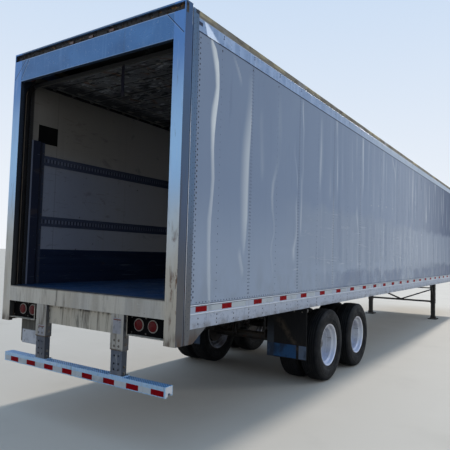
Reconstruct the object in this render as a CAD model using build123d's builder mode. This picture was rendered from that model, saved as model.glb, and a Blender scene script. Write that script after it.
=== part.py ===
from build123d import *
import math
import os

# A fifty-three foot dry van semi trailer with a roll-up rear door, parked on its landing legs.
# Millimetres, +X towards the kingpin, +Y to the trailer's left, +Z up.
# The origin is on the ground, under the middle of the overall length.

os.makedirs("parts", exist_ok=True)

# Overall sizes
BODY_LENGTH = 16154.0
BODY_WIDTH = 2591.0
BODY_HEIGHT = 4115.0
NOSE_REACH = 62.0
FLOOR_TOP = 1385.0
SEAT_GAP = 0.3

REAR = -(BODY_LENGTH + NOSE_REACH) / 2
FRONT = REAR + BODY_LENGTH
HALF = BODY_WIDTH / 2

# Walls, and the rails that hold their lower and upper edges
WALL_THICK = 41.0
SKIN_INSET = 4.0
SKIN_HALF = HALF - SKIN_INSET
INNER_HALF = SKIN_HALF - WALL_THICK
CORNER_RADIUS = 150.0
PANEL_PITCH = 1219.0
SEAM_WIDTH = 6.0
SEAM_DEPTH = 2.0

BOTTOM_RAIL_TOP = FLOOR_TOP - 46.0
BOTTOM_RAIL_DEPTH = 219.0
BOTTOM_RAIL_LOW = BOTTOM_RAIL_TOP - BOTTOM_RAIL_DEPTH
TAPE_BAND = 89.0
RAIL_LIP = 11.0
RAIL_WEB = 7.0
RAIL_FLANGE = 12.0

TOP_RAIL_DEPTH = 204.0
TOP_RAIL_TOP = BODY_HEIGHT - 11.0
TOP_RAIL_LOW = TOP_RAIL_TOP - TOP_RAIL_DEPTH
TOP_RAIL_BAND = 122.0
TOP_RAIL_OVERLAP = 30.0
TOP_RAIL_WALL = 5.0
WALL_TOP = TOP_RAIL_LOW + TOP_RAIL_OVERLAP

# Floor and crossmembers
FLOOR_THICK = 35.0
BOARD_WIDTH = 305.0
BOARD_GROOVE = 3.0
CROSSMEMBER_DEPTH = 102.0
CROSSMEMBER_FLANGE = 57.0
CROSSMEMBER_WALL = 6.0
CROSSMEMBER_PITCH = 305.0
CHASSIS_TOP = FLOOR_TOP - FLOOR_THICK
CHASSIS_LOW = CHASSIS_TOP - CROSSMEMBER_DEPTH

# Roof
ROOF_THICK = 4.0
BOW_PITCH = 610.0
BOW_DEPTH = 32.0
BOW_WIDTH = 46.0
BOW_WALL = 3.0

# Rear frame
FRAME_DEPTH = 205.0
POST_FACE = 134.5
POST_CHANNEL = 107.0
POST_GROOVE = 11.0
POST_LOW = 987.0
POST_WALL = 6.0
JAMB_DEPTH = 45.0
HEADER_FACE = 252.0
GUTTER_HEIGHT = 73.0
GUTTER_DEPTH = 40.0
HEADER_WALL = 10.0
SILL_FACE = 168.0
SILL_DEPTH = 110.0
SILL_WALL = 8.0
OPENING_HALF = HALF - POST_FACE
GUTTER_CAP = 17.0
GUTTER_LOW = BODY_HEIGHT - GUTTER_CAP - GUTTER_HEIGHT
OPENING_TOP = GUTTER_LOW - HEADER_FACE
SILL_LOW = FLOOR_TOP - SILL_FACE

# Rear skirt, tail lamps and underride guard
SKIRT_FACE = 197.0
SKIRT_INSET = 40.0
SKIRT_WALL = 6.0
LAMP_BOX_HEIGHT = 187.0
LAMP_BOX_DEPTH = 60.0
LAMP_RADIUS = 51.0
GROMMET_RADIUS = 60.0
LAMP_Y = (808.0, 982.0)
LAMP_DROP = 86.0
GUARD_POST_Y = 578.0
GUARD_SLEEVE = 170.0
GUARD_SLEEVE_DEPTH = 78.0
GUARD_SLEEVE_LOW = 873.0
GUARD_POST = 150.0
GUARD_BAR_HALF = 1202.5
GUARD_BAR_LOW = 534.0
GUARD_BAR_FACE = 98.0
GUARD_BAR_DEPTH = 102.0
GUARD_WALL = 6.0

# Load space linings
TRACK_HEIGHT = 125.0
TRACK_THICK = 13.0
LOWER_TRACK = 2156.0
UPPER_TRACK = 2916.0
SCUFF_HEIGHT = 425.0
SCUFF_THICK = 8.0
LINING_START = 395.0
GUARD_START = 215.0
GUARD_TOP = 3130.0

# Roll-up door
DOOR_PATH_X = 150.0
DOOR_PATH_Z = OPENING_TOP + 72.0
DOOR_PATH_RADIUS = 230.0
DOOR_TRACK_END = 2780.0
DOOR_TRACK_HALF = 30.0
DOOR_TRACK_WALL = 3.0
DOOR_TRACK_WIDTH = 34.0
SECTION_COUNT = 8
SECTION_HEIGHT = 300.0
SECTION_THICK = 19.0
SECTION_GAP = 3.0
SECTION_SAG = 55.0
DOOR_EDGE = 200.0
ROLLER_GAP = 0.5
ROLLER_WIDTH = 14.0
STEM_RADIUS = 6.0
BALANCER_RADIUS = 36.0
STRAP_Y = -305.0
STRAP_WIDTH = 42.0
STRAP_THICK = 3.0
STRAP_DROP = 330.0

# Tyres and wheels, 11R22.5 on 8.25 inch rims in pairs
TYRE_RADIUS = 518.0
TYRE_WIDTH = 279.0
TREAD_WIDTH = 214.0
BEAD_RADIUS = 288.3
RIM_RADIUS = 302.0
RIM_WIDTH = 226.0
RIM_WALL = 8.0
DUAL_SPACING = 343.0
DUAL_CENTRE = HALF - TYRE_WIDTH / 2 - DUAL_SPACING / 2
AXLE_FROM_REAR = 3618.0
AXLE_SPACING = 1245.0
SPINDLE_RADIUS = 42.0
SPINDLE_GAP = 0.5
HUB_RADIUS = 74.0
HUB_FLANGE = 168.0
HUB_REACH = 162.0
DRUM_RADIUS = 212.0
DRUM_WIDTH = 190.0
DRUM_WALL = 14.0
PILOT_RADIUS = 110.0
DISC_THICK = 11.0

# Sliding bogie
AXLE_Z = TYRE_RADIUS
AXLE_RADIUS = 63.5
SLIDE_Y = 545.0
SLIDE_RAIL_DEPTH = 96.0
SLIDE_RAIL_WIDTH = 90.0
SLIDE_RAIL_WALL = 8.0
SLIDE_GAP = 0.5
PIN_PITCH = 152.4
PIN_HOLES = 32
PIN_RADIUS = 17.0
PIN_HOLE_GAP = 2.0
BOGIE_RAIL_DEPTH = 140.0
BOGIE_RAIL_WIDTH = 84.0
BOGIE_RAIL_WALL = 7.0
BOGIE_REAR = 1500.0
BOGIE_FRONT = 1350.0
SLIDE_BACK = 1219.2
SLIDE_FORWARD = 1828.8
SPRING_HALF = 500.0
SPRING_CAMBER = 70.0
SPRING_WIDTH = 76.0
LEAF_THICK = 16.0
SEAT_HEIGHT = 30.0
HANGER_WALL = 10.0
HANGER_GAP = 4.0
EQUALIZER_REACH = 150.0
PIVOT_RADIUS = 25.0
FLAP_WIDTH = 610.0
FLAP_LOW = 380.0
FLAP_THICK = 10.0
FLAP_INNER = 600.0

# Kingpin, coupler and landing gear
KINGPIN_FROM_FRONT = 914.0
KINGPIN_NECK = 25.4
KINGPIN_SHANK = 36.5
KINGPIN_COLLAR = 35.7
KINGPIN_STEPS = (35.0, 30.0, 19.0)
COUPLER_THICK = 10.0
COUPLER_LENGTH = 1500.0
LEG_FROM_REAR = 12750.0
LEG_Y = 950.0
LEG_SIZE = 125.0
LEG_WALL = 7.0
LEG_LOW = 470.0
RAM_SIZE = 104.0
FOOT_LENGTH = 300.0
FOOT_WIDTH = 250.0
BRACE_SIZE = 50.0

BOGIE_X = REAR + AXLE_FROM_REAR + AXLE_SPACING / 2
AXLES = (BOGIE_X - AXLE_SPACING / 2, BOGIE_X + AXLE_SPACING / 2)
SIDES = (1, -1)


def finish(piece, name):
    """Labels a finished piece and writes it as its own STEP file."""
    piece.part.label = name
    export_step(piece.part, f"parts/{name}.step")


def outline(points):
    """A closed outline of straight lines, as a face of the sketch around it."""
    Polygon(*points, align=None)


def box(x_range, y_range, z_range, mode=Mode.ADD):
    """A block between two corners, for plates and bars that lie along the axes."""
    (x0, x1), (y0, y1), (z0, z1) = x_range, y_range, z_range
    with Locations(((x0 + x1) / 2, (y0 + y1) / 2, (z0 + z1) / 2)):
        Box(x1 - x0, y1 - y0, z1 - z0, mode=mode)


def rod(start, end, radius, mode=Mode.ADD):
    """A round bar from one point to another."""
    axis = Vector(*end) - Vector(*start)
    with Locations(Plane(origin=start, z_dir=axis)):
        Cylinder(radius, axis.length, align=(Align.CENTER, Align.CENTER, Align.MIN), mode=mode)


# Side walls: one slab each, as thick as sheet, posts and liner together, seamed where the sheets lap
WALL_START = REAR + FRAME_DEPTH
WALL_END = FRONT - CORNER_RADIUS
SEAMS = int((WALL_END - REAR) // PANEL_PITCH)

for name, side in (("side_wall_left", 1), ("side_wall_right", -1)):
    with BuildPart() as side_wall:
        inner, outer = sorted((side * INNER_HALF, side * SKIN_HALF))
        box((WALL_START, WALL_END - SEAT_GAP), (inner, outer), (BOTTOM_RAIL_TOP, WALL_TOP))
        for k in range(1, SEAMS + 1):
            seam_x = REAR + k * PANEL_PITCH
            cut = sorted((side * (SKIN_HALF - SEAM_DEPTH), side * (SKIN_HALF + SEAM_DEPTH)))
            box((seam_x, seam_x + SEAM_WIDTH), cut, (BOTTOM_RAIL_TOP, WALL_TOP), Mode.SUBTRACT)
    finish(side_wall, name)


def nose_outline(outer_half, depth):
    """The plan of anything that follows the nose: straight across with a round corner at each side."""
    corner_y = HALF - CORNER_RADIUS
    with BuildLine() as plan:
        for half in (outer_half, outer_half - depth):
            inset = HALF - half
            CenterArc((WALL_END, -corner_y), CORNER_RADIUS - inset, -90, 90)
            Line((FRONT - inset, -corner_y), (FRONT - inset, corner_y))
            CenterArc((WALL_END, corner_y), CORNER_RADIUS - inset, 0, 90)
        for side in SIDES:
            Line((WALL_END, side * outer_half), (WALL_END, side * (outer_half - depth)))
    make_face(plan.edges())


# Front wall, with its two rounded corners
with BuildPart() as front_wall:
    with BuildSketch(Plane.XY.offset(BOTTOM_RAIL_TOP)):
        nose_outline(SKIN_HALF, WALL_THICK)
    extrude(amount=WALL_TOP - BOTTOM_RAIL_TOP)
finish(front_wall, "front_wall")


def bottom_rail_profile(side):
    """The bottom rail's section: a lipped tape band above a plain flange, and two inward flanges."""
    lip_in = HALF - SKIN_INSET
    web_in = lip_in - RAIL_WEB
    band_low = BOTTOM_RAIL_TOP - TAPE_BAND
    points = [
        (HALF, BOTTOM_RAIL_TOP),
        (HALF, BOTTOM_RAIL_TOP - RAIL_LIP),
        (lip_in, BOTTOM_RAIL_TOP - RAIL_LIP - SKIN_INSET),
        (lip_in, band_low + RAIL_LIP + SKIN_INSET),
        (HALF, band_low + RAIL_LIP),
        (HALF, band_low),
        (lip_in, band_low - SKIN_INSET),
        (lip_in, BOTTOM_RAIL_LOW),
        (web_in, BOTTOM_RAIL_LOW),
        (web_in, CHASSIS_LOW - RAIL_FLANGE),
        (INNER_HALF - WALL_THICK, CHASSIS_LOW - RAIL_FLANGE),
        (INNER_HALF - WALL_THICK, CHASSIS_LOW),
        (web_in, CHASSIS_LOW),
        (web_in, BOTTOM_RAIL_TOP - RAIL_FLANGE),
        (INNER_HALF, BOTTOM_RAIL_TOP - RAIL_FLANGE),
        (INNER_HALF, BOTTOM_RAIL_TOP),
    ]
    outline([(side * y, z) for y, z in points])


# Bottom rails: one along each side, and the nose rail that closes them in front
with BuildPart() as bottom_rails:
    for side in SIDES:
        with BuildSketch(Plane.YZ.offset(WALL_START)):
            bottom_rail_profile(side)
        extrude(amount=WALL_END - SEAT_GAP - WALL_START)
    for half, low, high in (
        (SKIN_HALF, BOTTOM_RAIL_LOW, BOTTOM_RAIL_TOP),
        (HALF, BOTTOM_RAIL_TOP - RAIL_LIP, BOTTOM_RAIL_TOP),
        (HALF, BOTTOM_RAIL_TOP - TAPE_BAND, BOTTOM_RAIL_TOP - TAPE_BAND + RAIL_LIP),
    ):
        with BuildSketch(Plane.XY.offset(low)):
            nose_outline(half, RAIL_WEB + half - SKIN_HALF)
        extrude(amount=high - low)
    with BuildSketch(Plane.XY.offset(BOTTOM_RAIL_TOP - RAIL_FLANGE)):
        nose_outline(SKIN_HALF, WALL_THICK)
    extrude(amount=RAIL_FLANGE)
finish(bottom_rails, "bottom_rails")


def top_rail_profile(side):
    """The top rail's section: a plate that laps over the wall, under a hollow box with a round shoulder."""
    band_top = TOP_RAIL_LOW + TOP_RAIL_BAND
    shoulder = 14.0
    step = 6.0
    with BuildLine() as shell:
        Polyline(
            (side * (HALF - step - shoulder), TOP_RAIL_TOP),
            (side * INNER_HALF, TOP_RAIL_TOP),
            (side * INNER_HALF, WALL_TOP),
            (side * SKIN_HALF, WALL_TOP),
            (side * SKIN_HALF, TOP_RAIL_LOW),
            (side * HALF, TOP_RAIL_LOW),
            (side * HALF, band_top),
            (side * (HALF - step), band_top + step),
            (side * (HALF - step), TOP_RAIL_TOP - shoulder),
        )
        shoulder_centre = (side * (HALF - step - shoulder), TOP_RAIL_TOP - shoulder)
        CenterArc(shoulder_centre, shoulder, 0 if side > 0 else 90, 90)
    make_face(shell.edges())
    hollow_low = WALL_TOP + TOP_RAIL_WALL
    hollow_high = TOP_RAIL_TOP - TOP_RAIL_WALL
    hollow_in = INNER_HALF + TOP_RAIL_WALL
    hollow_out = HALF - step - TOP_RAIL_WALL - 4.0
    with Locations((side * (hollow_in + hollow_out) / 2, (hollow_low + hollow_high) / 2)):
        Rectangle(hollow_out - hollow_in, hollow_high - hollow_low, mode=Mode.SUBTRACT)


# Top rails: one along each side, and the nose rail that closes them in front
with BuildPart() as top_rails:
    for side in SIDES:
        with BuildSketch(Plane.YZ.offset(WALL_START)):
            top_rail_profile(side)
        extrude(amount=WALL_END - SEAT_GAP - WALL_START)
    with BuildSketch(Plane.XY.offset(TOP_RAIL_LOW)):
        nose_outline(HALF, SKIN_INSET)
    extrude(amount=TOP_RAIL_TOP - TOP_RAIL_LOW)
    with BuildSketch(Plane.XY.offset(WALL_TOP)):
        nose_outline(SKIN_HALF, WALL_THICK)
    extrude(amount=TOP_RAIL_TOP - WALL_TOP)
finish(top_rails, "top_rails")

# Roof: one thin sheet with a slight crown, lying on the rails
with BuildPart() as roof_sheet:
    with BuildSketch(Plane.YZ.offset(WALL_START)):
        edge = HALF - 20.0
        with BuildLine():
            ThreePointArc((-edge, TOP_RAIL_TOP), (0, BODY_HEIGHT - ROOF_THICK), (edge, TOP_RAIL_TOP))
            Line((edge, TOP_RAIL_TOP), (edge, TOP_RAIL_TOP + ROOF_THICK))
            ThreePointArc((edge, TOP_RAIL_TOP + ROOF_THICK), (0, BODY_HEIGHT), (-edge, TOP_RAIL_TOP + ROOF_THICK))
            Line((-edge, TOP_RAIL_TOP + ROOF_THICK), (-edge, TOP_RAIL_TOP))
        make_face()
    extrude(amount=FRONT - 20.0 - WALL_START)
    roof_corners = roof_sheet.edges().filter_by(Axis.Z).group_by(Axis.X)[-1]
    fillet(roof_corners, CORNER_RADIUS - 20.0)
finish(roof_sheet, "roof_sheet")

# Roof bows: channels from rail to rail under the sheet
BOWS = int((WALL_END - WALL_START - BOW_PITCH / 2) // BOW_PITCH) + 1

with BuildPart() as roof_bows:
    with BuildSketch(Plane.XZ.offset(-INNER_HALF)):
        with Locations(*[(WALL_START + BOW_PITCH / 2 + k * BOW_PITCH, TOP_RAIL_TOP) for k in range(BOWS)]):
            Rectangle(BOW_WIDTH, BOW_DEPTH, align=(Align.CENTER, Align.MAX))
            hollow = (BOW_WIDTH - 2 * BOW_WALL, BOW_DEPTH - BOW_WALL)
            Rectangle(*hollow, align=(Align.CENTER, Align.MAX), mode=Mode.SUBTRACT)
    extrude(amount=2 * INNER_HALF)
finish(roof_bows, "roof_bows")

# Floor: laminated boards laid lengthwise, with a groove at each joint
with BuildPart() as floor_boards:
    box((REAR + SILL_DEPTH, FRONT - WALL_THICK - SKIN_INSET), (-INNER_HALF, INNER_HALF), (CHASSIS_TOP, FLOOR_TOP))
    for s in SIDES:
        sheet_corner = sorted((s * INNER_HALF, s * (INNER_HALF - CORNER_RADIUS)))
        box((WALL_END, FRONT), sheet_corner, (CHASSIS_TOP, FLOOR_TOP), Mode.SUBTRACT)
    grooves = int(INNER_HALF // BOARD_WIDTH)
    for k in range(-grooves, grooves + 1):
        groove_y = (k * BOARD_WIDTH - BOARD_GROOVE / 2, k * BOARD_WIDTH + BOARD_GROOVE / 2)
        box((REAR + FRAME_DEPTH, FRONT), groove_y, (FLOOR_TOP - BOARD_GROOVE, FLOOR_TOP), Mode.SUBTRACT)
finish(floor_boards, "floor_boards")

# Crossmembers: I beams under the floor, their ends on the bottom rails' lower flanges
CROSSMEMBER_START = REAR + 330.0
CROSSMEMBERS = int((WALL_END - CROSSMEMBER_START) // CROSSMEMBER_PITCH)

with BuildPart() as crossmembers:
    with BuildSketch(Plane.XZ.offset(-INNER_HALF)):
        for k in range(CROSSMEMBERS + 1):
            with Locations((CROSSMEMBER_START + k * CROSSMEMBER_PITCH, (CHASSIS_LOW + CHASSIS_TOP) / 2)):
                Rectangle(CROSSMEMBER_WALL, CROSSMEMBER_DEPTH)
                with Locations((0, CROSSMEMBER_DEPTH / 2), (0, CROSSMEMBER_WALL - CROSSMEMBER_DEPTH / 2)):
                    Rectangle(CROSSMEMBER_FLANGE, CROSSMEMBER_WALL, align=(Align.CENTER, Align.MAX))
    extrude(amount=2 * INNER_HALF)
finish(crossmembers, "crossmembers")

# Rear posts: a folded channel, a narrow groove and the corner member that takes the wall's edge
POST_GUSSET = 258.0
POST_TOE = 50.0

with BuildPart() as rear_posts:
    with BuildSketch(Plane.XY.offset(POST_LOW)):
        for side in SIDES:
            groove_floor = HALF - 12.0
            outline(
                [
                    (REAR, side * OPENING_HALF),
                    (REAR, side * HALF),
                    (REAR + POST_CHANNEL, side * HALF),
                    (REAR + POST_CHANNEL, side * groove_floor),
                    (REAR + POST_CHANNEL + POST_GROOVE, side * groove_floor),
                    (REAR + POST_CHANNEL + POST_GROOVE, side * HALF),
                    (WALL_START, side * HALF),
                    (WALL_START, side * INNER_HALF),
                    (REAR + JAMB_DEPTH, side * INNER_HALF),
                    (REAR + JAMB_DEPTH, side * OPENING_HALF),
                ]
            )
            cavity_out = groove_floor - POST_WALL
            outline_hollow = [
                ((REAR + POST_WALL, REAR + JAMB_DEPTH - POST_WALL), (OPENING_HALF + POST_WALL, cavity_out)),
                ((REAR + POST_WALL, WALL_START - POST_WALL), (INNER_HALF + POST_WALL, cavity_out)),
            ]
            for (x0, x1), (y0, y1) in outline_hollow:
                with Locations(((x0 + x1) / 2, side * (y0 + y1) / 2)):
                    Rectangle(x1 - x0, y1 - y0, mode=Mode.SUBTRACT)
    extrude(amount=BODY_HEIGHT - POST_LOW)
    # The gutter runs on into each post: a solid cheek, with the recess cut out of it
    gutter_end = HALF - 12.0
    for side in SIDES:
        cheek_y = sorted((side * (OPENING_HALF + 1.0), side * (gutter_end + 1.0)))
        recess_y = sorted((side * (OPENING_HALF - 1.0), side * gutter_end))
        cheek_z = (GUTTER_LOW - HEADER_WALL, BODY_HEIGHT - 1.0)
        box((REAR + 1.0, REAR + GUTTER_DEPTH + HEADER_WALL), cheek_y, cheek_z)
        box((REAR - 1.0, REAR + GUTTER_DEPTH), recess_y, (GUTTER_LOW, BODY_HEIGHT - GUTTER_CAP), Mode.SUBTRACT)
    # The corner member stops short of the channel at the top
    for side in SIDES:
        corner_y = sorted((side * (INNER_HALF - 1), side * (HALF + 1)))
        box((REAR + POST_CHANNEL, WALL_START + 1), corner_y, (BODY_HEIGHT - 26.0, BODY_HEIGHT), Mode.SUBTRACT)
    # The gusset under the bottom rail's rear end
    for side in SIDES:
        with BuildSketch(Plane.XZ.offset(-side * SKIN_HALF)):
            outline(
                [
                    (WALL_START, POST_LOW),
                    (WALL_START + POST_TOE, POST_LOW),
                    (WALL_START + POST_GUSSET, BOTTOM_RAIL_LOW),
                    (WALL_START, BOTTOM_RAIL_LOW),
                ]
            )
        extrude(amount=side * RAIL_WEB)
finish(rear_posts, "rear_posts")

# Header: folded plate with the lamp gutter recessed above its face

with BuildPart() as rear_header:
    with BuildSketch(Plane.XZ.offset(-(OPENING_HALF - SEAT_GAP))):
        cap_low = BODY_HEIGHT - GUTTER_CAP
        recess = GUTTER_DEPTH
        wall = HEADER_WALL
        outline(
            [
                (REAR, OPENING_TOP),
                (REAR, GUTTER_LOW),
                (REAR + recess, GUTTER_LOW),
                (REAR + recess, cap_low),
                (REAR, cap_low),
                (REAR, BODY_HEIGHT),
                (WALL_START - SEAT_GAP, BODY_HEIGHT),
                (WALL_START - SEAT_GAP, BODY_HEIGHT - wall),
                (REAR + recess + wall, BODY_HEIGHT - wall),
                (REAR + recess + wall, GUTTER_LOW - wall),
                (REAR + wall, GUTTER_LOW - wall),
                (REAR + wall, OPENING_TOP + wall),
                (REAR + JAMB_DEPTH, OPENING_TOP + wall),
                (REAR + JAMB_DEPTH, OPENING_TOP),
            ]
        )
    extrude(amount=2 * (OPENING_HALF - SEAT_GAP))
finish(rear_header, "rear_header")

# Sill: folded channel across the foot of the opening, flush with the floor
with BuildPart() as rear_sill:
    with BuildSketch(Plane.XZ.offset(-(OPENING_HALF - SEAT_GAP))):
        outline(
            [
                (REAR, SILL_LOW),
                (REAR, FLOOR_TOP),
                (REAR + SILL_DEPTH - SEAT_GAP, FLOOR_TOP),
                (REAR + SILL_DEPTH - SEAT_GAP, CHASSIS_TOP - SILL_WALL),
                (REAR + SILL_WALL, CHASSIS_TOP - SILL_WALL),
                (REAR + SILL_WALL, SILL_LOW + SILL_WALL),
                (REAR + SILL_DEPTH, SILL_LOW + SILL_WALL),
                (REAR + SILL_DEPTH, SILL_LOW),
            ]
        )
    extrude(amount=2 * (OPENING_HALF - SEAT_GAP))
finish(rear_sill, "rear_sill")

# Skirt between the guard posts, a lamp box each side of them, and the number plate's hanger
SLEEVE_INNER = GUARD_POST_Y - GUARD_SLEEVE / 2
SLEEVE_OUTER = GUARD_POST_Y + GUARD_SLEEVE / 2
LAMP_BOX_LOW = SILL_LOW - LAMP_BOX_HEIGHT
LAMP_BOX_INNER = SLEEVE_OUTER + 36.0
LAMP_PLATE_X = REAR + LAMP_BOX_DEPTH
LAMP_Z = SILL_LOW - LAMP_DROP
PLATE_HANGER_Y = (700.0, 1000.0)
PLATE_HANGER_LOW = 770.0

with BuildPart() as rear_skirt:
    skirt_y = (-SLEEVE_INNER + SEAT_GAP, SLEEVE_INNER - SEAT_GAP)
    box((REAR + SKIRT_INSET, REAR + SKIRT_INSET + SKIRT_WALL), skirt_y, (SILL_LOW - SKIRT_FACE, SILL_LOW))
    for side in SIDES:
        y_range = sorted((side * LAMP_BOX_INNER, side * OPENING_HALF))
        box((LAMP_PLATE_X, LAMP_PLATE_X + SKIRT_WALL), y_range, (LAMP_BOX_LOW, SILL_LOW))
        box((REAR + 4.0, LAMP_PLATE_X), y_range, (LAMP_BOX_LOW, LAMP_BOX_LOW + SKIRT_WALL))
        cheek = sorted((side * LAMP_BOX_INNER, side * (LAMP_BOX_INNER + SKIRT_WALL)))
        box((REAR + 4.0, LAMP_PLATE_X), cheek, (LAMP_BOX_LOW, SILL_LOW))
        for y in LAMP_Y:
            rod((LAMP_PLATE_X - 1, side * y, LAMP_Z), (LAMP_PLATE_X + SKIRT_WALL + 1, side * y, LAMP_Z),
                GROMMET_RADIUS - 4.0, Mode.SUBTRACT)
    # The number plate's hanger, under the left lamp box
    hanger_inner, hanger_outer = PLATE_HANGER_Y
    box((LAMP_PLATE_X, LAMP_PLATE_X + SKIRT_WALL), PLATE_HANGER_Y, (PLATE_HANGER_LOW + 120.0, LAMP_BOX_LOW))
    box((LAMP_PLATE_X, LAMP_PLATE_X + 40.0), (hanger_outer - 34.0, hanger_outer), (PLATE_HANGER_LOW, LAMP_BOX_LOW))
finish(rear_skirt, "rear_skirt")

# Tail lamps: a round lens in a grommet, two in each box
with BuildPart() as tail_lamps:
    for side in SIDES:
        for y in LAMP_Y:
            centre = Plane(origin=(LAMP_PLATE_X + SKIRT_WALL, side * y, LAMP_Z), z_dir=(-1, 0, 0))
            with BuildSketch(centre):
                Circle(GROMMET_RADIUS - 4.0 - SEAT_GAP)
            extrude(amount=SKIRT_WALL + SEAT_GAP)
            with BuildSketch(centre.offset(SKIRT_WALL + SEAT_GAP)):
                Circle(GROMMET_RADIUS)
            extrude(amount=8.0, taper=12)
            with BuildSketch(centre.offset(SKIRT_WALL + SEAT_GAP + 8.0)):
                Circle(LAMP_RADIUS)
            extrude(amount=6.0, taper=25)
finish(tail_lamps, "tail_lamps")

# Guard posts: an upper sleeve bolted to the frame, and the post that telescopes out of it
with BuildPart() as guard_posts:
    for side in SIDES:
        y = side * GUARD_POST_Y
        sleeve_x = (REAR + 2.0, REAR + 2.0 + GUARD_SLEEVE_DEPTH)
        sleeve_y = (y - GUARD_SLEEVE / 2, y + GUARD_SLEEVE / 2)
        box(sleeve_x, sleeve_y, (GUARD_SLEEVE_LOW, SILL_LOW))
        post_x = (sleeve_x[0] + GUARD_WALL, sleeve_x[1] - GUARD_WALL)
        post_y = (y - GUARD_POST / 2, y + GUARD_POST / 2)
        box(post_x, post_y, (GUARD_BAR_LOW + GUARD_BAR_FACE, SILL_LOW))
        hollow_x = (post_x[0] + GUARD_WALL, post_x[1] - GUARD_WALL)
        hollow_y = (post_y[0] + GUARD_WALL, post_y[1] - GUARD_WALL)
        box(hollow_x, hollow_y, (GUARD_BAR_LOW + GUARD_BAR_FACE, SILL_LOW), Mode.SUBTRACT)
    for side in SIDES:
        for dy in (-30.0, 30.0):
            for z in (690.0, 745.0, 820.0):
                y = side * GUARD_POST_Y + dy
                rod((REAR, y, z), (REAR + 30.0, y, z), 9.0, Mode.SUBTRACT)
finish(guard_posts, "guard_posts")

# Guard bar: a channel open below, with a hooked lower lip at the rear face
with BuildPart() as guard_bar:
    top = GUARD_BAR_LOW + GUARD_BAR_FACE
    near, far = REAR + 2.0, REAR + 2.0 + GUARD_BAR_DEPTH
    with BuildSketch(Plane.XZ.offset(-GUARD_BAR_HALF)):
        outline(
            [
                (near, GUARD_BAR_LOW),
                (near, top),
                (far, top),
                (far, GUARD_BAR_LOW + 12.0),
                (far - 26.0, GUARD_BAR_LOW + 12.0),
                (far - 26.0, GUARD_BAR_LOW + 12.0 + GUARD_WALL),
                (far - GUARD_WALL, GUARD_BAR_LOW + 12.0 + GUARD_WALL),
                (far - GUARD_WALL, top - GUARD_WALL),
                (near + GUARD_WALL, top - GUARD_WALL),
                (near + GUARD_WALL, GUARD_BAR_LOW + GUARD_WALL),
                (near + 26.0, GUARD_BAR_LOW + GUARD_WALL),
                (near + 26.0, GUARD_BAR_LOW),
            ]
        )
    extrude(amount=2 * GUARD_BAR_HALF)
finish(guard_bar, "guard_bar")

# Logistics tracks: two rows of raised rail along each side wall
with BuildPart() as logistics_tracks:
    for side in SIDES:
        for centre in (LOWER_TRACK, UPPER_TRACK):
            half, crown = TRACK_HEIGHT / 2, TRACK_HEIGHT / 4
            face, foot = INNER_HALF - TRACK_THICK, INNER_HALF - 4.0
            with BuildSketch(Plane.YZ.offset(REAR + LINING_START + 35.0)):
                outline(
                    [
                        (side * INNER_HALF, centre - half),
                        (side * foot, centre - half),
                        (side * foot, centre - crown - 9.0),
                        (side * face, centre - crown),
                        (side * face, centre + crown),
                        (side * foot, centre + crown + 9.0),
                        (side * foot, centre + half),
                        (side * INNER_HALF, centre + half),
                    ]
                )
            extrude(amount=WALL_END - REAR - LINING_START - 35.0)
finish(logistics_tracks, "logistics_tracks")

# Scuff liners: ribbed steel along the foot of each wall, and the guard that shields each door track
SCUFF_RIBS = 4

with BuildPart() as scuff_liners:
    for side in SIDES:
        points = [(INNER_HALF, FLOOR_TOP)]
        for k in range(SCUFF_RIBS):
            rib = FLOOR_TOP + k * SCUFF_HEIGHT / SCUFF_RIBS
            quarter = SCUFF_HEIGHT / SCUFF_RIBS / 4
            points += [
                (INNER_HALF - SCUFF_THICK / 2, rib),
                (INNER_HALF - SCUFF_THICK / 2, rib + quarter),
                (INNER_HALF - SCUFF_THICK, rib + 1.5 * quarter),
                (INNER_HALF - SCUFF_THICK, rib + 3.5 * quarter),
            ]
        points += [(INNER_HALF - SCUFF_THICK / 2, FLOOR_TOP + SCUFF_HEIGHT), (INNER_HALF, FLOOR_TOP + SCUFF_HEIGHT)]
        with BuildSketch(Plane.YZ.offset(REAR + LINING_START + 35.0)):
            outline([(side * y, z) for y, z in points])
        extrude(amount=WALL_END - REAR - LINING_START - 35.0)
        # The track guard: a plate standing off the wall on its front return
        with BuildSketch(Plane.XY.offset(FLOOR_TOP)):
            outline(
                [
                    (REAR + GUARD_START, side * (INNER_HALF - 52.0)),
                    (REAR + GUARD_START, side * (INNER_HALF - 46.0)),
                    (REAR + LINING_START - 70.0, side * (INNER_HALF - 46.0)),
                    (REAR + LINING_START - 6.0, side * (INNER_HALF - 6.0)),
                    (REAR + LINING_START - 6.0, side * INNER_HALF),
                    (REAR + LINING_START + 34.0, side * INNER_HALF),
                    (REAR + LINING_START + 34.0, side * (INNER_HALF - 6.0)),
                    (REAR + LINING_START, side * (INNER_HALF - 6.0)),
                    (REAR + LINING_START - 66.0, side * (INNER_HALF - 52.0)),
                ]
            )
        extrude(amount=GUARD_TOP - FLOOR_TOP)
finish(scuff_liners, "scuff_liners")


def door_path_band(near, far):
    """A band beside the door's path, seen from the side: up the jamb, round the bend and forward."""
    path_x, bend = REAR + DOOR_PATH_X, DOOR_PATH_RADIUS
    centre = (path_x + bend, DOOR_PATH_Z - bend)
    with Locations((path_x + (near + far) / 2, (FLOOR_TOP + centre[1]) / 2)):
        Rectangle(far - near, centre[1] - FLOOR_TOP)
    forward_end = REAR + DOOR_TRACK_END
    with Locations(((centre[0] + forward_end) / 2, DOOR_PATH_Z - (near + far) / 2)):
        Rectangle(forward_end - centre[0], far - near)
    with BuildLine() as bend_line:
        for offset in (near, far):
            CenterArc(centre, bend - offset, 90, 90)
        Line((centre[0], DOOR_PATH_Z - near), (centre[0], DOOR_PATH_Z - far))
        Line((path_x + near, centre[1]), (path_x + far, centre[1]))
    make_face(bend_line.edges())


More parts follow.
